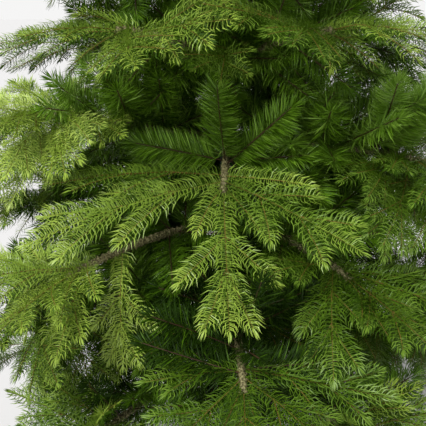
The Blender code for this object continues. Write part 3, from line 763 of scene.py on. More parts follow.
class MeshHeap:
    """Gathers many small shapes of the same make into one mesh."""

    def __init__(self) -> None:
        """Starts with nothing."""
        self.points: list[np.ndarray] = []
        self.faces: list[np.ndarray] = []
        self.count = 0

    def add(self, points: np.ndarray, faces: np.ndarray) -> None:
        """Adds shapes that share one pattern of triangles.

        Args:
            points: one row of points for each shape.
            faces: the pattern's triangles, by place in the row.
        """
        shapes, size = points.shape[:2]
        starts = self.count + np.arange(shapes)[:, None, None] * size
        self.points.append(points.reshape(-1, 3))
        self.faces.append((starts + faces[None]).reshape(-1, 3))
        self.count += shapes * size

    def build(self, name: str, finish: Finish) -> Object:
        """Makes the mesh.

        Args:
            name: the object's name.
            finish: what it is made of.

        Returns:
            The object, at the origin.
        """
        points = np.concatenate(self.points).astype(np.float32)
        faces = np.concatenate(self.faces).astype(np.int32)
        mesh = bpy.data.meshes.new(name)
        mesh.vertices.add(len(points))
        mesh.vertices.foreach_set("co", points.ravel())
        mesh.loops.add(faces.size)
        mesh.loops.foreach_set("vertex_index", faces.ravel())
        mesh.polygons.add(len(faces))
        mesh.polygons.foreach_set("loop_start", np.arange(0, faces.size, 3, dtype=np.int32))
        mesh.update(calc_edges=True)
        mesh.materials.append(finish.material())
        made = bpy.data.objects.new(name, mesh)
        bpy.context.scene.collection.objects.link(made)
        return made


@dataclass(frozen=True)
class NeedleCoat:
    """How the needles of one kind stand on their twig."""

    per_metre: float
    length: float
    width: float
    keel: float             # height of the fold along its middle, on a straight needle
    lean: float             # degrees between twig and needle at the root
    curl: float             # degrees by which the needle's outer half turns forward
    flat: float             # length of the needles over and under the twig, as a share
    rounding: float         # length of the twig's end over which they shorten
    tuft: int               # how many close the twig's end
    scatter: float          # spread of the lean, in degrees
    rows: tuple[float, ...] = ()    # angle of each row round the twig; none where they stand all round
    ahead: float = 0.0      # degrees by which the needles over and under the twig lean further forward
    spread: float = 0.0     # spread about its flat side of needles that stand in no rows, in degrees
    stray: float = 12.0     # spread of needles about their row, in degrees
    toss: float = 0.30      # how unevenly the needles' faces turn
    tip_share: float = 0.30     # share of the twig whose needles take the tips' tone
    least: int = 6          # fewest needles along a twig
    row_room: float = 0.35  # most shift of a needle in a row, as a share of its step
    tip_lean: float = 26.0  # degrees by which the lean closes towards the twig's end
    shortened: Pair = (0.55, 0.45)      # length at the twig's end and what it gains, as shares
    long_spread: Pair = (0.80, 1.10)
    tuft_lean: Pair = (8.0, 34.0)
    tuft_long: Pair = (0.52, 0.72)
    tuft_stray: float = 8.0
    under: float = -0.35    # cosine of the angle past which a needle lies under the twig and takes the darker tone, partly two-tone moulding and partly painted shade
    dark_share: float = 0.10    # share of needles in rows that take the under tone anyway
    tone_shares: Triple = (0.45, 0.41, 0.14)        # tones of needles in no rows
    curl_spread: Pair = (0.65, 1.25)
    least_lean: float = 2.0
    sunk: float = 0.6       # distance of the roots from the twig's middle, in radii of its end
    waists: Pair = (0.34, 0.50)         # half the width at the root and at the bend, as shares

    STRAIGHT = np.array(((0, 3, 2), (0, 2, 1)))
    BENT = np.array(((0, 2, 1), (1, 2, 3), (2, 4, 3)))

    def cover(self, twig: Twig, tones: list[MeshHeap], draw: np.random.Generator, size: float = 1.0) -> None:
        """Sets needles along a twig and round its tip.

        Args:
            twig: the stem they stand on.
            tones: take the needles of the darker tone, on soft sprays those under the twig as partly two-tone
                moulding and partly painted shade, then the spray's body and its tips.
            draw: the spray's own draw.
            size: scale of the needles.
        """
        share, lean, long = self.stand(twig, draw)
        total = len(share)
        angle, tone = self.face(share, draw)
        ahead = twig.along(share)
        across = unit(np.cross(ahead, twig.over))
        over = np.cross(across, ahead)
        side = across * np.sin(angle)[:, None] + over * np.cos(angle)[:, None]
        long = long * (self.flat + (1.0 - self.flat) * np.abs(np.sin(angle))) * size
        lean = lean - self.ahead * np.cos(angle) ** 2
        curl = self.curl * draw.uniform(*self.curl_spread, total)
        first = np.radians(lean)[:, None]
        last = np.radians(np.maximum(lean - curl, self.least_lean))[:, None]
        root = twig.at(share) + side * twig.end_radius * self.sunk
        facing = over + draw.normal(0.0, self.toss, (total, 3))
        way = ahead * np.cos(first) + side * np.sin(first)
        wide = unit(np.cross(way, facing))
        if not self.curl:
            keel = np.cross(way, wide) * self.keel * size
            middle = root + way * long[:, None] * 0.5
            wide = wide * self.width * size / 2.0
            points = (root, middle - wide + keel, root + way * long[:, None], middle + wide + keel)
            self.deal(points, self.STRAIGHT, tone, tones)
            return
        at_root = wide * self.width * size * self.waists[0]
        bend = root + way * long[:, None] / 2
        way = ahead * np.cos(last) + side * np.sin(last)
        at_bend = unit(np.cross(way, facing)) * self.width * size * self.waists[1]
        end = bend + way * long[:, None] / 2
        points = (root - at_root, root + at_root, bend - at_bend, bend + at_bend, end)
        self.deal(points, self.BENT, tone, tones)

    def stand(self, twig: Twig, draw: np.random.Generator) -> tuple[np.ndarray, np.ndarray, np.ndarray]:
        """Places the needles along a twig, and a tuft at its end.

        Args:
            twig: the stem they stand on.
            draw: the spray's own draw.

        Returns:
            Each needle's share of the twig's run, its lean in degrees and its length.
        """
        count = max(self.least, int(self.per_metre * twig.length * (1.0 - twig.bare)))
        loose = self.row_room if self.rows else 1.0
        share = twig.bare + (1.0 - twig.bare) * (np.arange(count) + draw.uniform(0.0, loose, count)) / count
        lean = self.lean + draw.normal(0.0, self.scatter, count)
        left = (1.0 - share) * twig.length
        lean -= self.tip_lean * np.clip(1.0 - left / self.rounding, 0.0, 1.0)
        long = self.length * np.clip(self.shortened[0] + self.shortened[1] * left / self.rounding, 0.0, 1.0)
        long *= draw.uniform(*self.long_spread, count)
        share = np.concatenate((share, np.full(self.tuft, 1.0)))
        lean = np.concatenate((lean, draw.uniform(*self.tuft_lean, self.tuft)))
        return share, lean, np.concatenate((long, self.length * draw.uniform(*self.tuft_long, self.tuft)))

    def face(self, share: np.ndarray, draw: np.random.Generator) -> tuple[np.ndarray, np.ndarray]:
        """Turns the needles round their twig and deals their tones.

        Args:
            share: each needle's share of the twig's run, with the tuft last.
            draw: the spray's own draw.

        Returns:
            Each needle's angle round the twig, in radians, and its tone's number.
        """
        total = len(share)
        count = total - self.tuft
        order = np.arange(total)
        if self.rows:
            angle = np.array(self.rows)[order % len(self.rows)] + draw.normal(0.0, self.stray, total)
            stray = draw.normal(0.0, self.tuft_stray, self.tuft)
            angle[count:] = np.arange(self.tuft) * 360.0 / self.tuft + stray
            tone = np.where(share > 1.0 - self.tip_share, 2, 1)
            # Needles under the twig take the darker tone: partly two-tone moulding, partly painted shade
            tone[(np.cos(np.radians(angle)) < self.under) | (draw.random(total) < self.dark_share)] = 0
        else:
            angle = np.where(order % 2, 90.0, -90.0) + draw.normal(0.0, self.spread, total)
            angle[count:] = np.arange(self.tuft) * 360.0 / self.tuft
            tone = draw.choice(len(self.tone_shares), total, p=self.tone_shares)
        return np.radians(angle), tone

    def deal(self, points: tuple[np.ndarray, ...], faces: np.ndarray, tone: np.ndarray,
             tones: list[MeshHeap]) -> None:
        """Hands each needle to the heap of its tone.

        Args:
            points: the needles' points, one array for each point of the pattern.
            faces: the pattern's triangles.
            tone: each needle's tone.
            tones: the heaps.
        """
        rows = np.stack(points, axis=1)
        for number, heap in enumerate(tones):
            if (tone == number).any():
                heap.add(rows[tone == number], faces)


@dataclass(frozen=True)
class TwigSkin:
    """The skin of the thin stems: few sides, tapering."""

    sides: int = 3
    steps: int = 3

    def cover(self, twig: Twig, heap: MeshHeap) -> None:
        """Sets a tapering tube along a twig.

        Args:
            twig: the stem.
            heap: takes the tube.
        """
        share = np.linspace(0.0, 1.0, self.steps + 1)
        ahead = twig.along(share)
        across = unit(np.cross(ahead, twig.over))
        over = np.cross(across, ahead)
        radius = twig.radius + (twig.end_radius - twig.radius) * share
        turn = np.arange(self.sides) * 2.0 * math.pi / self.sides
        ring = across[:, None] * np.cos(turn)[None, :, None] + over[:, None] * np.sin(turn)[None, :, None]
        rings = twig.at(share)[:, None] + ring * radius[:, None, None]
        points = np.concatenate((rings.reshape(-1, 3), twig.at(share[-1:]) + ahead[-1:] * twig.end_radius))
        faces = tube_faces(self.steps, self.sides)
        last = self.steps * self.sides
        faces += [(last + i, last + (i + 1) % self.sides, len(points) - 1) for i in range(self.sides)]
        heap.add(points[None], np.array(faces))


def faces_of(shoot: Shoot, tilt: float, roll: float) -> tuple[np.ndarray, np.ndarray, np.ndarray]:
    """A shoot's own three directions.

    Args:
        shoot: the spray or tip.
        tilt: how far its upper side turns outward, as a share.
        roll: further turn of that side, in radians.

    Returns:
        Along it, across it, and over it.
    """
    along = np.array(shoot.direction)
    across = np.cross(along, (0.0, 0.0, 1.0))
    across = unit(across) if np.linalg.norm(across) > LEAST_ACROSS else np.array((1.0, 0.0, 0.0))
    facing = np.array(shoot.outward)
    over = unit(np.cross(across, along) + tilt * (facing - along * facing.dot(along)))
    across = np.cross(along, over)
    c, s = math.cos(roll), math.sin(roll)
    return along, across * c + over * s, over * c - across * s


@dataclass
class SoftSpray:
    """A moulded spray: a main twig with up to two pairs of side twigs, as in the model blade's teeth."""

    coat: NeedleCoat = NeedleCoat(
        per_metre=1130.0, length=0.0250, width=0.00155, keel=0.0, lean=78.0, curl=46.0, flat=0.88,
        rounding=0.018, tuft=9, scatter=5.0, rows=(-90.0, 42.0, -132.0, 0.0, 90.0, -42.0, 132.0),
        ahead=24.0, stray=7.0, toss=0.22)
    near_coat: NeedleCoat = NeedleCoat(
        per_metre=1260.0, length=0.0262, width=0.00160, keel=0.0, lean=80.0, curl=46.0, flat=0.90,
        rounding=0.018, tuft=10, scatter=5.0, rows=(-90.0, 36.0, -132.0, 90.0, -36.0, 132.0, -62.0, 62.0),
        ahead=14.0, stray=5.0, toss=0.20)
    skin: TwigSkin = TwigSkin()
    radius: float = 0.0010
    end_radius: float = 0.0006
    tip_room: float = 0.010
    bare_root: float = 0.003
    arch: float = 0.05
    tilt: float = 0.70
    roll: float = 0.25
    # Root's share of the length, tip's share of it, tip's share of half the width
    pairs: dict[Form, Lines] = field(default_factory=lambda: {
        Form.TAIL: (), Form.FORK: ((0.40, 0.78, 0.75),),
        Form.FEATHER: ((0.28, 0.57, 1.0), (0.56, 0.86, 0.74)),
        Form.LATE: ((0.38, 0.67, 1.20), (0.60, 0.97, 0.58)),
        Form.SLIM: ((0.26, 0.60, 0.62), (0.54, 0.88, 0.50))})
    arch_spread: Pair = (0.5, 1.4)
    sway: float = 0.015
    # Of the side twigs, as shares of the spray's length: spread of the root, of the tip, and most drop
    root_spread: float = 0.03
    tip_spread: Pair = (-0.04, 0.02)
    drop: float = 0.03
    # Of the side twigs, as shares of their own: arch, forward pull, room at the tip, thickness and bare foot
    side_arch: float = 0.05
    side_pull: float = 0.06
    side_room: float = 0.9
    side_radius: float = 0.75
    side_bare: float = 0.08

    def grow(self, shoot: Shoot, tones: list[MeshHeap], stems: MeshHeap, draw: np.random.Generator) -> None:
        """Adds one spray.

        Args:
            shoot: its place and size.
            tones: take the needles, by tone.
            stems: takes the twigs.
            draw: its own draw.
        """
        along, across, over = faces_of(shoot, self.tilt, draw.normal(0.0, self.roll))
        root = np.array(shoot.root)
        length, half = shoot.length, shoot.length * shoot.width / 2.0
        run = length - self.tip_room
        arch = over * length * self.arch * draw.uniform(*self.arch_spread)
        bend = across * length * draw.normal(0.0, self.sway)
        main = Twig(root, root + along * run * 0.5 + 2.0 * (arch + bend), root + along * run, over,
                    self.radius, self.end_radius, self.bare_root / run)
        twigs = [main]
        for base, out, share in self.pairs[shoot.form]:
            for side in (-1.0, 1.0):
                foot = base + draw.uniform(-self.root_spread, self.root_spread)
                start = main.at(np.array((foot,)))[0]
                reach = root + along * length * (out + draw.uniform(*self.tip_spread))
                reach = reach + across * side * half * share - over * length * draw.uniform(0.0, self.drop)
                way = reach - start
                size = np.linalg.norm(way)
                pull = start + way * 0.5 + over * size * self.side_arch + along * size * self.side_pull
                end = start + way * (1.0 - self.tip_room * self.side_room / size)
                twigs.append(Twig(start, pull, end, over, self.radius * self.side_radius, self.end_radius,
                                  self.side_bare))
        coat = self.near_coat if shoot.near else self.coat
        for twig in twigs:
            coat.cover(twig, tones, draw)
            self.skin.cover(twig, stems)


@dataclass
class BrushTip:
    """A bottle-brush tip: film needles twisted into a red-brown wire."""

    coat: NeedleCoat = NeedleCoat(
        per_metre=2100.0, length=0.0400, width=0.0019, keel=0.0004, lean=62.0, curl=0.0, flat=1.0,
        rounding=0.030, tuft=12, scatter=5.0, spread=32.0, toss=0.55)
    near_coat: NeedleCoat = NeedleCoat(
        per_metre=4300.0, length=0.0400, width=0.00155, keel=0.0004, lean=60.0, curl=0.0, flat=1.0,
        rounding=0.030, tuft=24, scatter=3.5, spread=30.0, toss=0.50)
    skin: TwigSkin = TwigSkin()
    radius: float = 0.0014
    end_radius: float = 0.0010
    tip_room: float = 0.016
    full_length: float = 0.155
    tilt: float = 0.80
    roll: float = 0.35
    sway: Pair = (-0.02, 0.06)
    bare: float = 0.10

    def grow(self, shoot: Shoot, tones: list[MeshHeap], stems: MeshHeap, draw: np.random.Generator) -> None:
        """Adds one tip.

        Args:
            shoot: its place and size.
            tones: take the needles, by tone.
            stems: takes the wire.
            draw: its own draw.
        """
        along, _, over = faces_of(shoot, self.tilt, draw.normal(0.0, self.roll))
        root = np.array(shoot.root)
        run = shoot.length - self.tip_room
        sway = over * shoot.length * draw.uniform(*self.sway)
        twig = Twig(root, root + along * run * 0.5 + sway, root + along * run, over,
                    self.radius, self.end_radius, self.bare)
        coat = self.near_coat if shoot.near else self.coat
        coat.cover(twig, tones, draw, shoot.length / self.full_length)
        self.skin.cover(twig, stems)


@dataclass
class Foliage:
    """All sprays and brush tips, joined by kind, tint and part of the tree."""

    rule: GrowthRule
    soft: SoftSpray = field(default_factory=SoftSpray)
    brush: BrushTip = field(default_factory=BrushTip)
    region_seeds: int = 1000

    def build(self, boughs: list[Bough]) -> list[Object]:
        """Grows the foliage of every bough and of the leader.

        Args:
            boughs: the limbs.

        Returns:
            The finished pieces.
        """
        made = []
        for region, tiers in REGIONS.items():
            shoots = [s for b in boughs if b.tier in tiers for s in self.rule.shoots(b)]
            nodes = [f"foliage_{b.name}" for b in boughs if b.tier in tiers]
            if region == "high":
                shoots += self.rule.leader()
                nodes.append("foliage_leader")
            heaps: dict[Tint, MeshHeap] = {}
            twigs, wires = MeshHeap(), MeshHeap()
            for number, shoot in enumerate(shoots):
                draw = np.random.default_rng(self.rule.seed + self.region_seeds * tiers[0] + number)
                tones = [heaps.setdefault(tint, MeshHeap()) for tint in TONES[shoot.tint]]
                if shoot.kind is Kind.SOFT:
                    self.soft.grow(shoot, tones, twigs, draw)
                else:
                    self.brush.grow(shoot, tones, wires, draw)
            for tint in Tint:
                if tint in heaps:
                    made.append(self.dress(heaps[tint], f"needles_{region}_{tint.value}", TINTS[tint], nodes))
            made.append(self.dress(twigs, f"twigs_{region}", TWIG, nodes))
            made.append(self.dress(wires, f"brush_wires_{region}", CORE, nodes))
            log.info("%s: %d shoots", region, len(shoots))
        return made

    def dress(self, heap: MeshHeap, name: str, finish: Finish, nodes: list[str]) -> Object:
        """Makes one joined piece that stands for its masses.

        Args:
            heap: the gathered shapes.
            name: the piece's name.
            finish: what it is made of.
            nodes: the model's masses that it replaces.

        Returns:
            The piece.
        """
        made = heap.build(name, finish)
        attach(made, BODY)
        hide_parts(*nodes)
        return made


# Boughs, pole and stand

ROUND_BELOW = 38.0      # edges flatter than this many degrees are smooth
LOOKS = 0.9             # a face looks along an axis if its normal reaches this far along it
# Steps of a hinge plate's nose: share of its length, and how far the end narrows
NOSE_STEPS = ((0.62, 0.82), (0.38, 0.58))
LAID_ACROSS = Matrix.Rotation(math.radians(90.0), 4, "X")   # turns an upright part across its place
LAID_OUTWARD = Matrix.Rotation(math.radians(90.0), 4, "Y")  # turns it to the way out


def clear_selection() -> None:
    """Leaves nothing selected or active."""
    if bpy.context.object and bpy.context.object.mode != "OBJECT":
        bpy.ops.object.mode_set(mode="OBJECT")
    bpy.ops.object.select_all(action="DESELECT")


def take(*chosen: Object) -> None:
    """Selects some pieces alone, with the first of them active.

    Args:
        chosen: the pieces.
    """
    clear_selection()
    for made in chosen:
        made.select_set(True)
    bpy.context.view_layer.objects.active = chosen[0]


def choose_faces(made: Object, test: Callable[[Vector], bool]) -> None:
    """Goes into edit mode with some faces selected.

    Args:
        made: the piece.
        test: tells from a face's normal whether it is selected.
    """
    take(made)
    bpy.ops.object.mode_set(mode="EDIT")
    bpy.ops.mesh.select_mode(type="FACE")
    bpy.ops.mesh.select_all(action="DESELECT")
    bpy.ops.object.mode_set(mode="OBJECT")
    for face in made.data.polygons:
        face.select = test(face.normal)
    bpy.ops.object.mode_set(mode="EDIT")


def draw_out(step: Triple, scale: Triple, centre: Triple) -> None:
    """Extrudes the selected faces by a step and scales their new end about a centre."""
    bpy.ops.mesh.extrude_region_move(TRANSFORM_OT_translate={"value": step, "orient_type": "GLOBAL"})
    bpy.ops.transform.resize(value=scale, center_override=centre)


def turned(name: str, sides: int, rings: Rings) -> Object:
    """Models a turned piece round the upright axis: a short cylinder drawn up ring by ring.

    Args:
        name: the piece's name.
        sides: how many sides it has.
        rings: radius and height of each ring from the lowest up; the first two share one radius.

    Returns:
        The piece, smooth but for its rims.
    """
    (radius, low), (_, high) = rings[:2]
    clear_selection()
    bpy.ops.mesh.primitive_cylinder_add(vertices=sides, radius=radius, depth=high - low,
                                        location=(0.0, 0.0, (low + high) / 2.0))
    made = bpy.context.object
    made.name = name
    choose_faces(made, lambda normal: normal.z > LOOKS)
    for wide, up in rings[2:]:
        draw_out((0.0, 0.0, up - high), (wide / radius, wide / radius, 1.0), (0.0, 0.0, up))
        radius, high = wide, up
    bpy.ops.object.mode_set(mode="OBJECT")
    bpy.ops.object.transform_apply(location=True, rotation=True, scale=True)
    bpy.ops.object.shade_smooth_by_angle(angle=math.radians(ROUND_BELOW))
    return made


def block(size: Triple, centre: Triple) -> Object:
    """Models a plain block.

    Args:
        size: its length, width and height.
        centre: where its middle is.

    Returns:
        The block, with its place in its mesh.
    """
    clear_selection()
    bpy.ops.mesh.primitive_cube_add(size=1.0)
    made = bpy.context.object
    made.scale, made.location = size, centre
    bpy.ops.object.transform_apply(location=True, rotation=True, scale=True)
    return made


def cheek(size: Triple, nose: float, edge: float) -> Object:
    """Models a hinge plate that points along the first axis, with a blunt nose and broken edges.

    Args:
        size: its length without the nose, its thickness and its height.
        nose: the nose's length.
        edge: width of the broken edges.

    Returns:
        The plate, centred on the origin.
    """
    made = block(size, (0.0, 0.0, 0.0))
    choose_faces(made, lambda normal: normal.x > LOOKS)
    for share, narrow in NOSE_STEPS:
        draw_out((nose * share, 0.0, 0.0), (1.0, 1.0, narrow), (0.0, 0.0, 0.0))
    bpy.ops.mesh.select_all(action="SELECT")
    bpy.ops.mesh.bevel(offset=edge, segments=1, affect="EDGES")
    bpy.ops.object.mode_set(mode="OBJECT")
    return made


def spread(model: Object, places: list[Matrix], name: str, finish: Finish, slot: str) -> Object:
    """Copies a modelled piece to every place, each copy with its own mesh, and joins and seats the copies.

    Args:
        model: the piece, which is used up.
        places: where the copies go.
        name: the joined piece's name.
        finish: what it is made of.
        slot: the record's material slot; not used.

    Returns:
        The joined piece.
    """
    copies = []
    for place in places:
        made = model.copy()
        made.data = model.data.copy()
        made.data.transform(place)
        bpy.context.scene.collection.objects.link(made)
        copies.append(made)
    bpy.data.objects.remove(model)
    take(*copies)
    if len(copies) > 1:
        bpy.ops.object.join()
    copies[0].name = name
    return seat(copies[0], finish)


def outward(azimuth: float, height: float) -> Matrix:
    """The place of a part modelled along the first axis: at a height on the pole, turned to an azimuth."""
    return Matrix.Translation((0.0, 0.0, height)) @ Matrix.Rotation(math.radians(azimuth - 90.0), 4, "Z")


def shifted(places: list[Matrix], out: float, turn: Matrix) -> list[Matrix]:
    """The places moved outward, with a turn of the part that goes there."""
    return [place @ Matrix.Translation((out, 0.0, 0.0)) @ turn for place in places]


def beside(places: list[Matrix], out: float, apart: float) -> list[Matrix]:
    """Two places for each one, moved outward and to both sides."""
    return [place @ Matrix.Translation((out, side * apart, 0.0)) for place in places for side in (-1.0, 1.0)]


def seat(made: Object, finish: Finish) -> Object:
    """Puts a finished piece's place in its mesh, and its finish on it.

    Args:
        made: the piece.
        finish: what it is made of.

    Returns:
        The same piece.
    """
    take(made)
    bpy.ops.object.transform_apply(location=True, rotation=True, scale=True)
    made.data.materials.clear()
    made.data.materials.append(finish.material())
    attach(made, BODY)
    return made


@dataclass
class Pole:
    """The three-part pole with its collars, the hinges of the boughs and the leader's stem."""

    sides: int = 28
    # Radius and height of each ring from the socket to the top, with a rolled rim at each sleeve's mouth
    rings: Rings = (
        (0.0160, 0.036), (0.0160, 0.504), (0.0175, 0.510), (0.0175, 0.553), (0.0181, 0.555), (0.0181, 0.559),
        (0.0174, 0.560), (0.0143, 0.5595), (0.0140, 0.562), (0.0140, 0.929), (0.0155, 0.935), (0.0155, 0.978),
        (0.0160, 0.980), (0.0160, 0.984), (0.0154, 0.985), (0.0118, 0.9845), (0.0115, 0.987), (0.0115, 1.266),
        (0.0104, 1.270), (0.0062, 1.271),
    )
    # Radius and height above the middle of each ring of a collar: a drum between two flanges
    collar: Rings = (
        (0.0226, -0.0120), (0.0226, -0.0116), (0.0240, -0.0106), (0.0240, -0.0092), (0.0232, -0.0084),
        (0.0203, -0.0080), (0.0203, 0.0080), (0.0232, 0.0084), (0.0240, 0.0092), (0.0240, 0.0106),
        (0.0226, 0.0120),
    )
    stem: Rings = (
        (0.0058, 1.264), (0.0058, 1.300), (0.0050, 1.420), (0.0040, 1.540), (0.0028, 1.642), (0.0012, 1.645),
    )
    stem_sides: int = 10
    plate: Triple = (0.0115, 0.0012, 0.0150)
    plate_out: float = 0.0243
    plate_apart: float = 0.0072
    nose: float = 0.0032
    edge: float = 0.0003
    pin_out: float = 0.0262
    # Radius and place along the pin: its crimped end, its shank and its head
    pin: Rings = (
        (0.0022, -0.0096), (0.0022, -0.0082), (0.0016, -0.0081), (0.0016, 0.0081), (0.0030, 0.0082),
        (0.0030, 0.0092), (0.0021, 0.0098),
    )
    pin_sides: int = 8
    eye: Rings = (
        (0.0038, -0.0062), (0.0038, -0.0060), (0.0046, -0.0054), (0.0046, 0.0054), (0.0038, 0.0062),
    )
    eye_out: float = 0.0225
    button: Rings = (
        (0.0030, 0.0150), (0.0030, 0.0182), (0.0022, 0.0192), (0.0010, 0.0196),
    )
    button_heights: tuple[float, ...] = (0.532, 0.957)
    button_turn: float = 160.0

    def build(self, rule: GrowthRule, boughs: list[Bough]) -> list[Object]:
        """Models the pole and everything that sits on it.

        Args:
            rule: tells the heights of the rings of boughs.
            boughs: the limbs, each with a hinge.

        Returns:
            The finished pieces.
        """
        pole = seat(turned("pole", self.sides, self.rings), POLE_PAINT)
        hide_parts("trunk")
        heights = [Matrix.Translation((0.0, 0.0, tier.height)) for tier in rule.tiers]
        collars = spread(turned("collar", self.sides, self.collar), heights, "collars", POLE_PAINT,
                         "pole_paint")
        stem = seat(turned("leader_stem", self.stem_sides, self.stem), TAPE)
        hinges = [outward(bough.azimuth, bough.height) for bough in boughs]
        sides = beside(hinges, self.plate_out, self.plate_apart)
        plates = spread(cheek(self.plate, self.nose, self.edge), sides, "hinge_plates", POLE_PAINT,
                        "pole_paint")
        pins = spread(turned("pin", self.pin_sides, self.pin), shifted(hinges, self.pin_out, LAID_ACROSS),
                      "hinge_pins", ZINC, "stand_steel")
        eyes = spread(turned("eye", self.stem_sides, self.eye), shifted(hinges, self.eye_out, LAID_ACROSS),
                      "bough_eyes", ZINC, "stand_steel")
        joints = [outward(self.button_turn, height) @ LAID_OUTWARD for height in self.button_heights]
        buttons = spread(turned("button", self.stem_sides, self.button), joints, "spring_buttons", ZINC,
                         "stand_steel")
        return [pole, collars, stem, plates, pins, eyes, buttons]


@dataclass
class Stand:
    """The steel stand's finish and its small hardware: leg hinges, clamp screws and rubber feet."""

    leg_turns: tuple[float, ...] = (45.0, 135.0, 225.0, 315.0)
    screw_turns: tuple[float, ...] = (35.0, 155.0, 275.0)
    plate: Triple = (0.0200, 0.0020, 0.0270)
    plate_out: float = 0.0400
    plate_apart: float = 0.0124
    nose: float = 0.0060
    edge: float = 0.0005
    hinge_height: float = 0.0745
    bolt_out: float = 0.0440
    # Radius and place along a bolt: its nut, its shank and its head
    bolt: Rings = (
        (0.0052, -0.0178), (0.0052, -0.0140), (0.0068, -0.0139), (0.0068, -0.0131), (0.0030, -0.0130),
        (0.0030, 0.0130), (0.0068, 0.0131), (0.0068, 0.0139), (0.0055, 0.0140), (0.0055, 0.0172),
        (0.0042, 0.0180),
    )
    bolt_sides: int = 6
    screw_height: float = 0.166
    # Radius and distance out along a clamp screw: its nut on the socket, then its shank
    screw: Rings = (
        (0.0064, 0.0200), (0.0064, 0.0262), (0.0052, 0.0268), (0.0031, 0.0269), (0.0031, 0.0432),
        (0.0026, 0.0436),
    )
    loop_out: float = 0.0515
    loop_radius: float = 0.0084
    loop_wire: float = 0.0017
    loop_steps: int = 20
    loop_sides: int = 8
    weld: float = 1e-5      # points nearer than this are joined
    foot_start: float = 0.2940
    foot_end: float = 0.3275
    foot_half: float = 0.0126
    foot_height: float = 0.0322
    foot_edge: float = 0.0022
    foot_lip: float = 0.0030
    foot_flare: float = 1.08
    foot_step: float = 0.0002
    foot_round: float = 40.0
    foot_segments: int = 2

    def build(self) -> list[Object]:
        """Gives the stand's own nodes their steel, and models what sits on them.

        Returns:
            The modelled pieces.
        """
        legs = range(1, len(self.leg_turns) + 1)
        for name in ("stand_socket", *(f"stand_leg_{number}" for number in legs)):
            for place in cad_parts[name].material_slots:
                place.material = STAND_STEEL.material()
        hinges = [outward(turn, self.hinge_height) for turn in self.leg_turns]
        sides = beside(hinges, self.plate_out, self.plate_apart)
        plates = spread(cheek(self.plate, self.nose, self.edge), sides, "leg_hinges", STAND_STEEL,
                        "stand_steel")
        bolts = spread(turned("bolt", self.bolt_sides, self.bolt),
                       shifted(hinges, self.bolt_out, LAID_ACROSS), "leg_bolts", ZINC, "stand_steel")
        screws = [outward(turn, self.screw_height) for turn in self.screw_turns]
        shanks = spread(turned("screw", self.bolt_sides, self.screw),
                        [place @ LAID_OUTWARD for place in screws], "clamp_screws", ZINC, "stand_steel")
        loops = spread(self.loop(), screws, "clamp_screw_loops", ZINC, "stand_steel")
        ends = [outward(turn, 0.0) for turn in self.leg_turns]
        feet = spread(self.foot(), ends, "rubber_feet", RUBBER, "stand_steel")
        return [plates, bolts, shanks, loops, feet]

    def loop(self) -> Object:
        """Models a clamp screw's wire loop by spinning its section.

        Returns:
            The loop, in place on a screw along the first axis.
        """
        clear_selection()
        bpy.ops.mesh.primitive_circle_add(vertices=self.loop_sides, radius=self.loop_wire,
                                          location=(self.loop_out + self.loop_radius, 0.0, 0.0))
        made = bpy.context.object
        bpy.ops.object.mode_set(mode="EDIT")
        bpy.ops.mesh.select_all(action="SELECT")
        bpy.ops.mesh.spin(steps=self.loop_steps, angle=2.0 * math.pi, center=(self.loop_out, 0.0, 0.0),
                          axis=(0.0, 1.0, 0.0))
        bpy.ops.mesh.select_all(action="SELECT")
        bpy.ops.mesh.remove_doubles(threshold=self.weld)
        bpy.ops.mesh.normals_make_consistent(inside=False)
        bpy.ops.object.mode_set(mode="OBJECT")
        bpy.ops.object.transform_apply(location=True, rotation=True, scale=True)
        bpy.ops.object.shade_smooth()
        return made

    def foot(self) -> Object:
        """Models a rubber foot: a rounded block over the leg's end, with a lip at its mouth.

        Returns:
            The foot, in place on a leg along the first axis.
        """
        length = self.foot_end - self.foot_start
        made = block((length, 2.0 * self.foot_half, self.foot_height),
                     (self.foot_start + length / 2.0, 0.0, self.foot_height / 2.0))
        choose_faces(made, lambda normal: normal.x > -LOOKS)
        bpy.ops.mesh.bevel(offset=self.foot_edge, segments=self.foot_segments, affect="EDGES")
        bpy.ops.object.mode_set(mode="OBJECT")
        choose_faces(made, lambda normal: normal.x < -LOOKS)
        draw_out((-self.foot_step, 0.0, 0.0), (1.0, self.foot_flare, self.foot_flare), (0.0, 0.0, 0.0))
        draw_out((-self.foot_lip, 0.0, 0.0), (1.0, 1.0, 1.0), (0.0, 0.0, 0.0))
        bpy.ops.object.mode_set(mode="OBJECT")
        bpy.ops.object.shade_smooth_by_angle(angle=math.radians(self.foot_round))
        return made


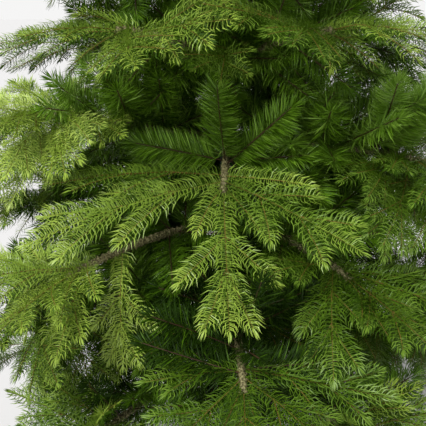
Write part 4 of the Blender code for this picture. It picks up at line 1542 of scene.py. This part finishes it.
@dataclass
class WrappedBoughs:
    """The wire boughs, wound with tape, from the pole's collars to the joints of their fans."""

    pitch: float = 0.0056
    sides: int = 9
    radius: float = 0.0056
    end_radius: float = 0.0042
    relief: float = 0.0019
    swell: float = 0.15             # how far the winding swells and thins, as a share
    swell_pitch: float = 0.0125
    past_joint: float = 0.012
    seat_gap: float = 0.0005
    turn_rings: int = 3             # rings of points in one turn of the tape
    turn_grain: float = 1e4
    seeds: int = 99991
    knots: Pair = (0.55, 0.9)       # least height of a turn's rise, and what the draw adds
    rise: float = 1.3               # how high the turns stand, in reliefs
    rough: float = 0.24             # spread of single points, in reliefs
    ends: Pair = (0.9, 0.4)         # thickness of the first and the last ring
    fray_room: float = 1.5          # distance of the torn ends' roots, in radii of the bough
    fray_bare: float = 0.02
    frays: NeedleCoat = NeedleCoat(
        per_metre=800.0, length=0.0062, width=0.0016, keel=0.0003, lean=52.0, curl=0.0, flat=1.0,
        rounding=0.010, tuft=4, scatter=20.0, spread=120.0, toss=0.8)

    def build(self, boughs: list[Bough]) -> list[Object]:
        """Makes the boughs, joined by part of the tree.

        Args:
            boughs: the limbs.

        Returns:
            One piece for each part of the tree.
        """
        made = []
        for region, tiers in REGIONS.items():
            heap = MeshHeap()
            chosen = [b for b in boughs if b.tier in tiers]
            for bough in chosen:
                self.wind(bough, heap)
            piece = heap.build(f"wrapped_boughs_{region}", TAPE)
            piece.data.shade_smooth()
            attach(piece, BODY)
            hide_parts(*[f"bough_{b.name}" for b in chosen if b.bare])
            made.append(piece)
        return made

    def wind(self, bough: Bough, heap: MeshHeap) -> None:
        """Winds one bough.

        Args:
            bough: the limb.
            heap: takes its skin.
        """
        first, last = bough.start + self.seat_gap, bough.joint + self.past_joint
        rings = int((last - first) / self.pitch * self.turn_rings)
        turn = np.arange(self.sides) * 2.0 * math.pi / self.sides
        draw = np.random.default_rng(round(self.turn_grain * bough.azimuth) % self.seeds)
        centres, across, over = [], [], []
        for i in range(rings + 1):
            out = first + (last - first) * i / rings
            tangent = bough.tangent(out)
            level = tangent.cross(Vector((0.0, 0.0, 1.0))).normalized()
            centres.append(bough.point(out))
            across.append(level)
            over.append(level.cross(tangent))
        centres, across, over = (np.array(rows) for rows in (centres, across, over))
        share = np.linspace(0.0, 1.0, rings + 1)[:, None]
        phase = share * (last - first) / self.pitch * 2.0 * math.pi - turn[None]
        radius = self.radius + (self.end_radius - self.radius) * share
        least, gain = self.knots
        lots = draw.random((rings // self.turn_rings + 2, self.sides))
        knots = least + gain * lots[np.arange(rings + 1) // self.turn_rings]
        radius = radius + self.relief * (np.abs(np.sin(phase / 2.0)) - 0.5) * self.rise * knots
        radius = radius + draw.normal(0.0, self.relief * self.rough, radius.shape)
        swing = np.sin(share * (last - first) / self.swell_pitch * 2.0 * math.pi)
        radius = radius * (1.0 + self.swell * swing)
        radius[0] *= self.ends[0]
        radius[-1] *= self.ends[1]
        points = (centres[:, None] + across[:, None] * (np.cos(turn)[None] * radius)[..., None]
                  + over[:, None] * (np.sin(turn)[None] * radius)[..., None]).reshape(-1, 3)
        faces = tube_faces(rings, self.sides)
        end = rings * self.sides
        faces += [(0, i + 1, i) for i in range(1, self.sides - 1)]
        faces += [(end, end + i, end + i + 1) for i in range(1, self.sides - 1)]
        heap.add(points[None], np.array(faces))
        self.fray(bough, first, last, heap, draw)

    def fray(self, bough: Bough, first: float, last: float, heap: MeshHeap,
             draw: np.random.Generator) -> None:
        """Lets short torn ends of the tape stand out along one bough.

        Args:
            bough: the limb.
            first: distance out at which the tape begins.
            last: distance out at which it ends.
            heap: takes the ends.
            draw: the bough's own draw.
        """
        half = (last - first) / 2.0
        pull = bough.point(first) + bough.tangent(first) * half / math.hypot(*bough.tangent(first)[:2])
        middle = (self.radius + self.end_radius) / 2.0
        core = Twig(np.array(bough.point(first)), np.array(pull), np.array(bough.point(last)),
                    np.array((0.0, 0.0, 1.0)), middle, middle * self.fray_room, self.fray_bare)
        self.frays.cover(core, [heap] * 3, draw)


# Studio


@dataclass
class Studio:
    """A pale floor, soft light from the upper left and the camera at the photograph's viewing angle."""

    floor_size: float = 60.0
    lens: float = 70.0
    target: Triple = (-0.026, -0.30, 0.72)
    distance: float = 1.13
    pitch: float = 15.0
    horizon: float = 0.92
    zenith: float = 0.40
    sky_rise: float = 0.45
    key: float = 3.4
    key_turn: float = -30.0
    key_rise: float = 44.0
    key_spread: float = 22.0
    floor_drop: float = 0.0005
    nearest: float = 0.02
    air: Colour = (1.0, 0.997, 0.990)

    def build(self) -> None:
        """Sets up floor, lights, world and camera."""
        clear_selection()
        bpy.ops.mesh.primitive_plane_add(size=self.floor_size, location=(0.0, 0.0, -self.floor_drop))
        floor = bpy.context.object
        floor.name = "floor"
        floor.data.materials.append(FLOOR_PAINT.material())
        bpy.context.scene.world = self.sky()
        lamp = bpy.data.lights.new("key", "SUN")
        lamp.energy = self.key
        lamp.angle = math.radians(self.key_spread)
        key = bpy.data.objects.new("key", lamp)
        key.rotation_euler = heading(self.key_turn, self.key_rise).to_track_quat("Z", "Y").to_euler()
        bpy.context.scene.collection.objects.link(key)
        camera = bpy.data.objects.new("camera", bpy.data.cameras.new("camera"))
        bpy.context.scene.collection.objects.link(camera)
        camera.data.lens = self.lens
        camera.data.clip_start = self.nearest
        down = math.radians(self.pitch)
        back_off = Vector((0.0, -math.cos(down), math.sin(down))) * self.distance
        camera.location = Vector(self.target) + back_off
        camera.rotation_euler = (math.pi / 2.0 - down, 0.0, 0.0)
        bpy.context.scene.camera = camera
        bpy.context.scene.view_settings.view_transform = "Standard"

    def sky(self) -> bpy.types.World:
        """Makes a white surround, as bright as the floor at the horizon and dimmer overhead.

        Returns:
            The world.
        """
        world = bpy.data.worlds.new("studio")
        world.use_nodes = True
        tree = world.node_tree
        place = tree.nodes.new("ShaderNodeTexCoord")
        split = tree.nodes.new("ShaderNodeSeparateXYZ")
        grade = tree.nodes.new("ShaderNodeMapRange")
        grade.inputs["From Min"].default_value = 0.0
        grade.inputs["From Max"].default_value = self.sky_rise
        grade.inputs["To Min"].default_value = self.horizon
        grade.inputs["To Max"].default_value = self.zenith
        back = tree.nodes["Background"]
        back.inputs["Color"].default_value = (*self.air, 1.0)
        tree.links.new(place.outputs["Generated"], split.inputs["Vector"])
        tree.links.new(split.outputs["Z"], grade.inputs["Value"])
        tree.links.new(grade.outputs["Result"], back.inputs["Strength"])
        return world


def report(pieces: list[Object]) -> None:
    """Logs the name and the count of triangles of each piece."""
    for piece in pieces:
        log.info("%s: %d triangles", piece.name, len(piece.data.loops) - 2 * len(piece.data.polygons))


def main() -> None:
    """Builds the tree's looks and the studio."""
    logging.basicConfig(level=logging.INFO, format="%(message)s")
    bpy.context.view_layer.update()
    rule = GrowthRule()
    boughs = rule.boughs()
    report(Foliage(rule).build(boughs))
    report(WrappedBoughs().build(boughs))
    report(Pole().build(rule, boughs))
    report(Stand().build())
    Studio().build()
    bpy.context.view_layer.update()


if __name__ == "__main__":
    main()
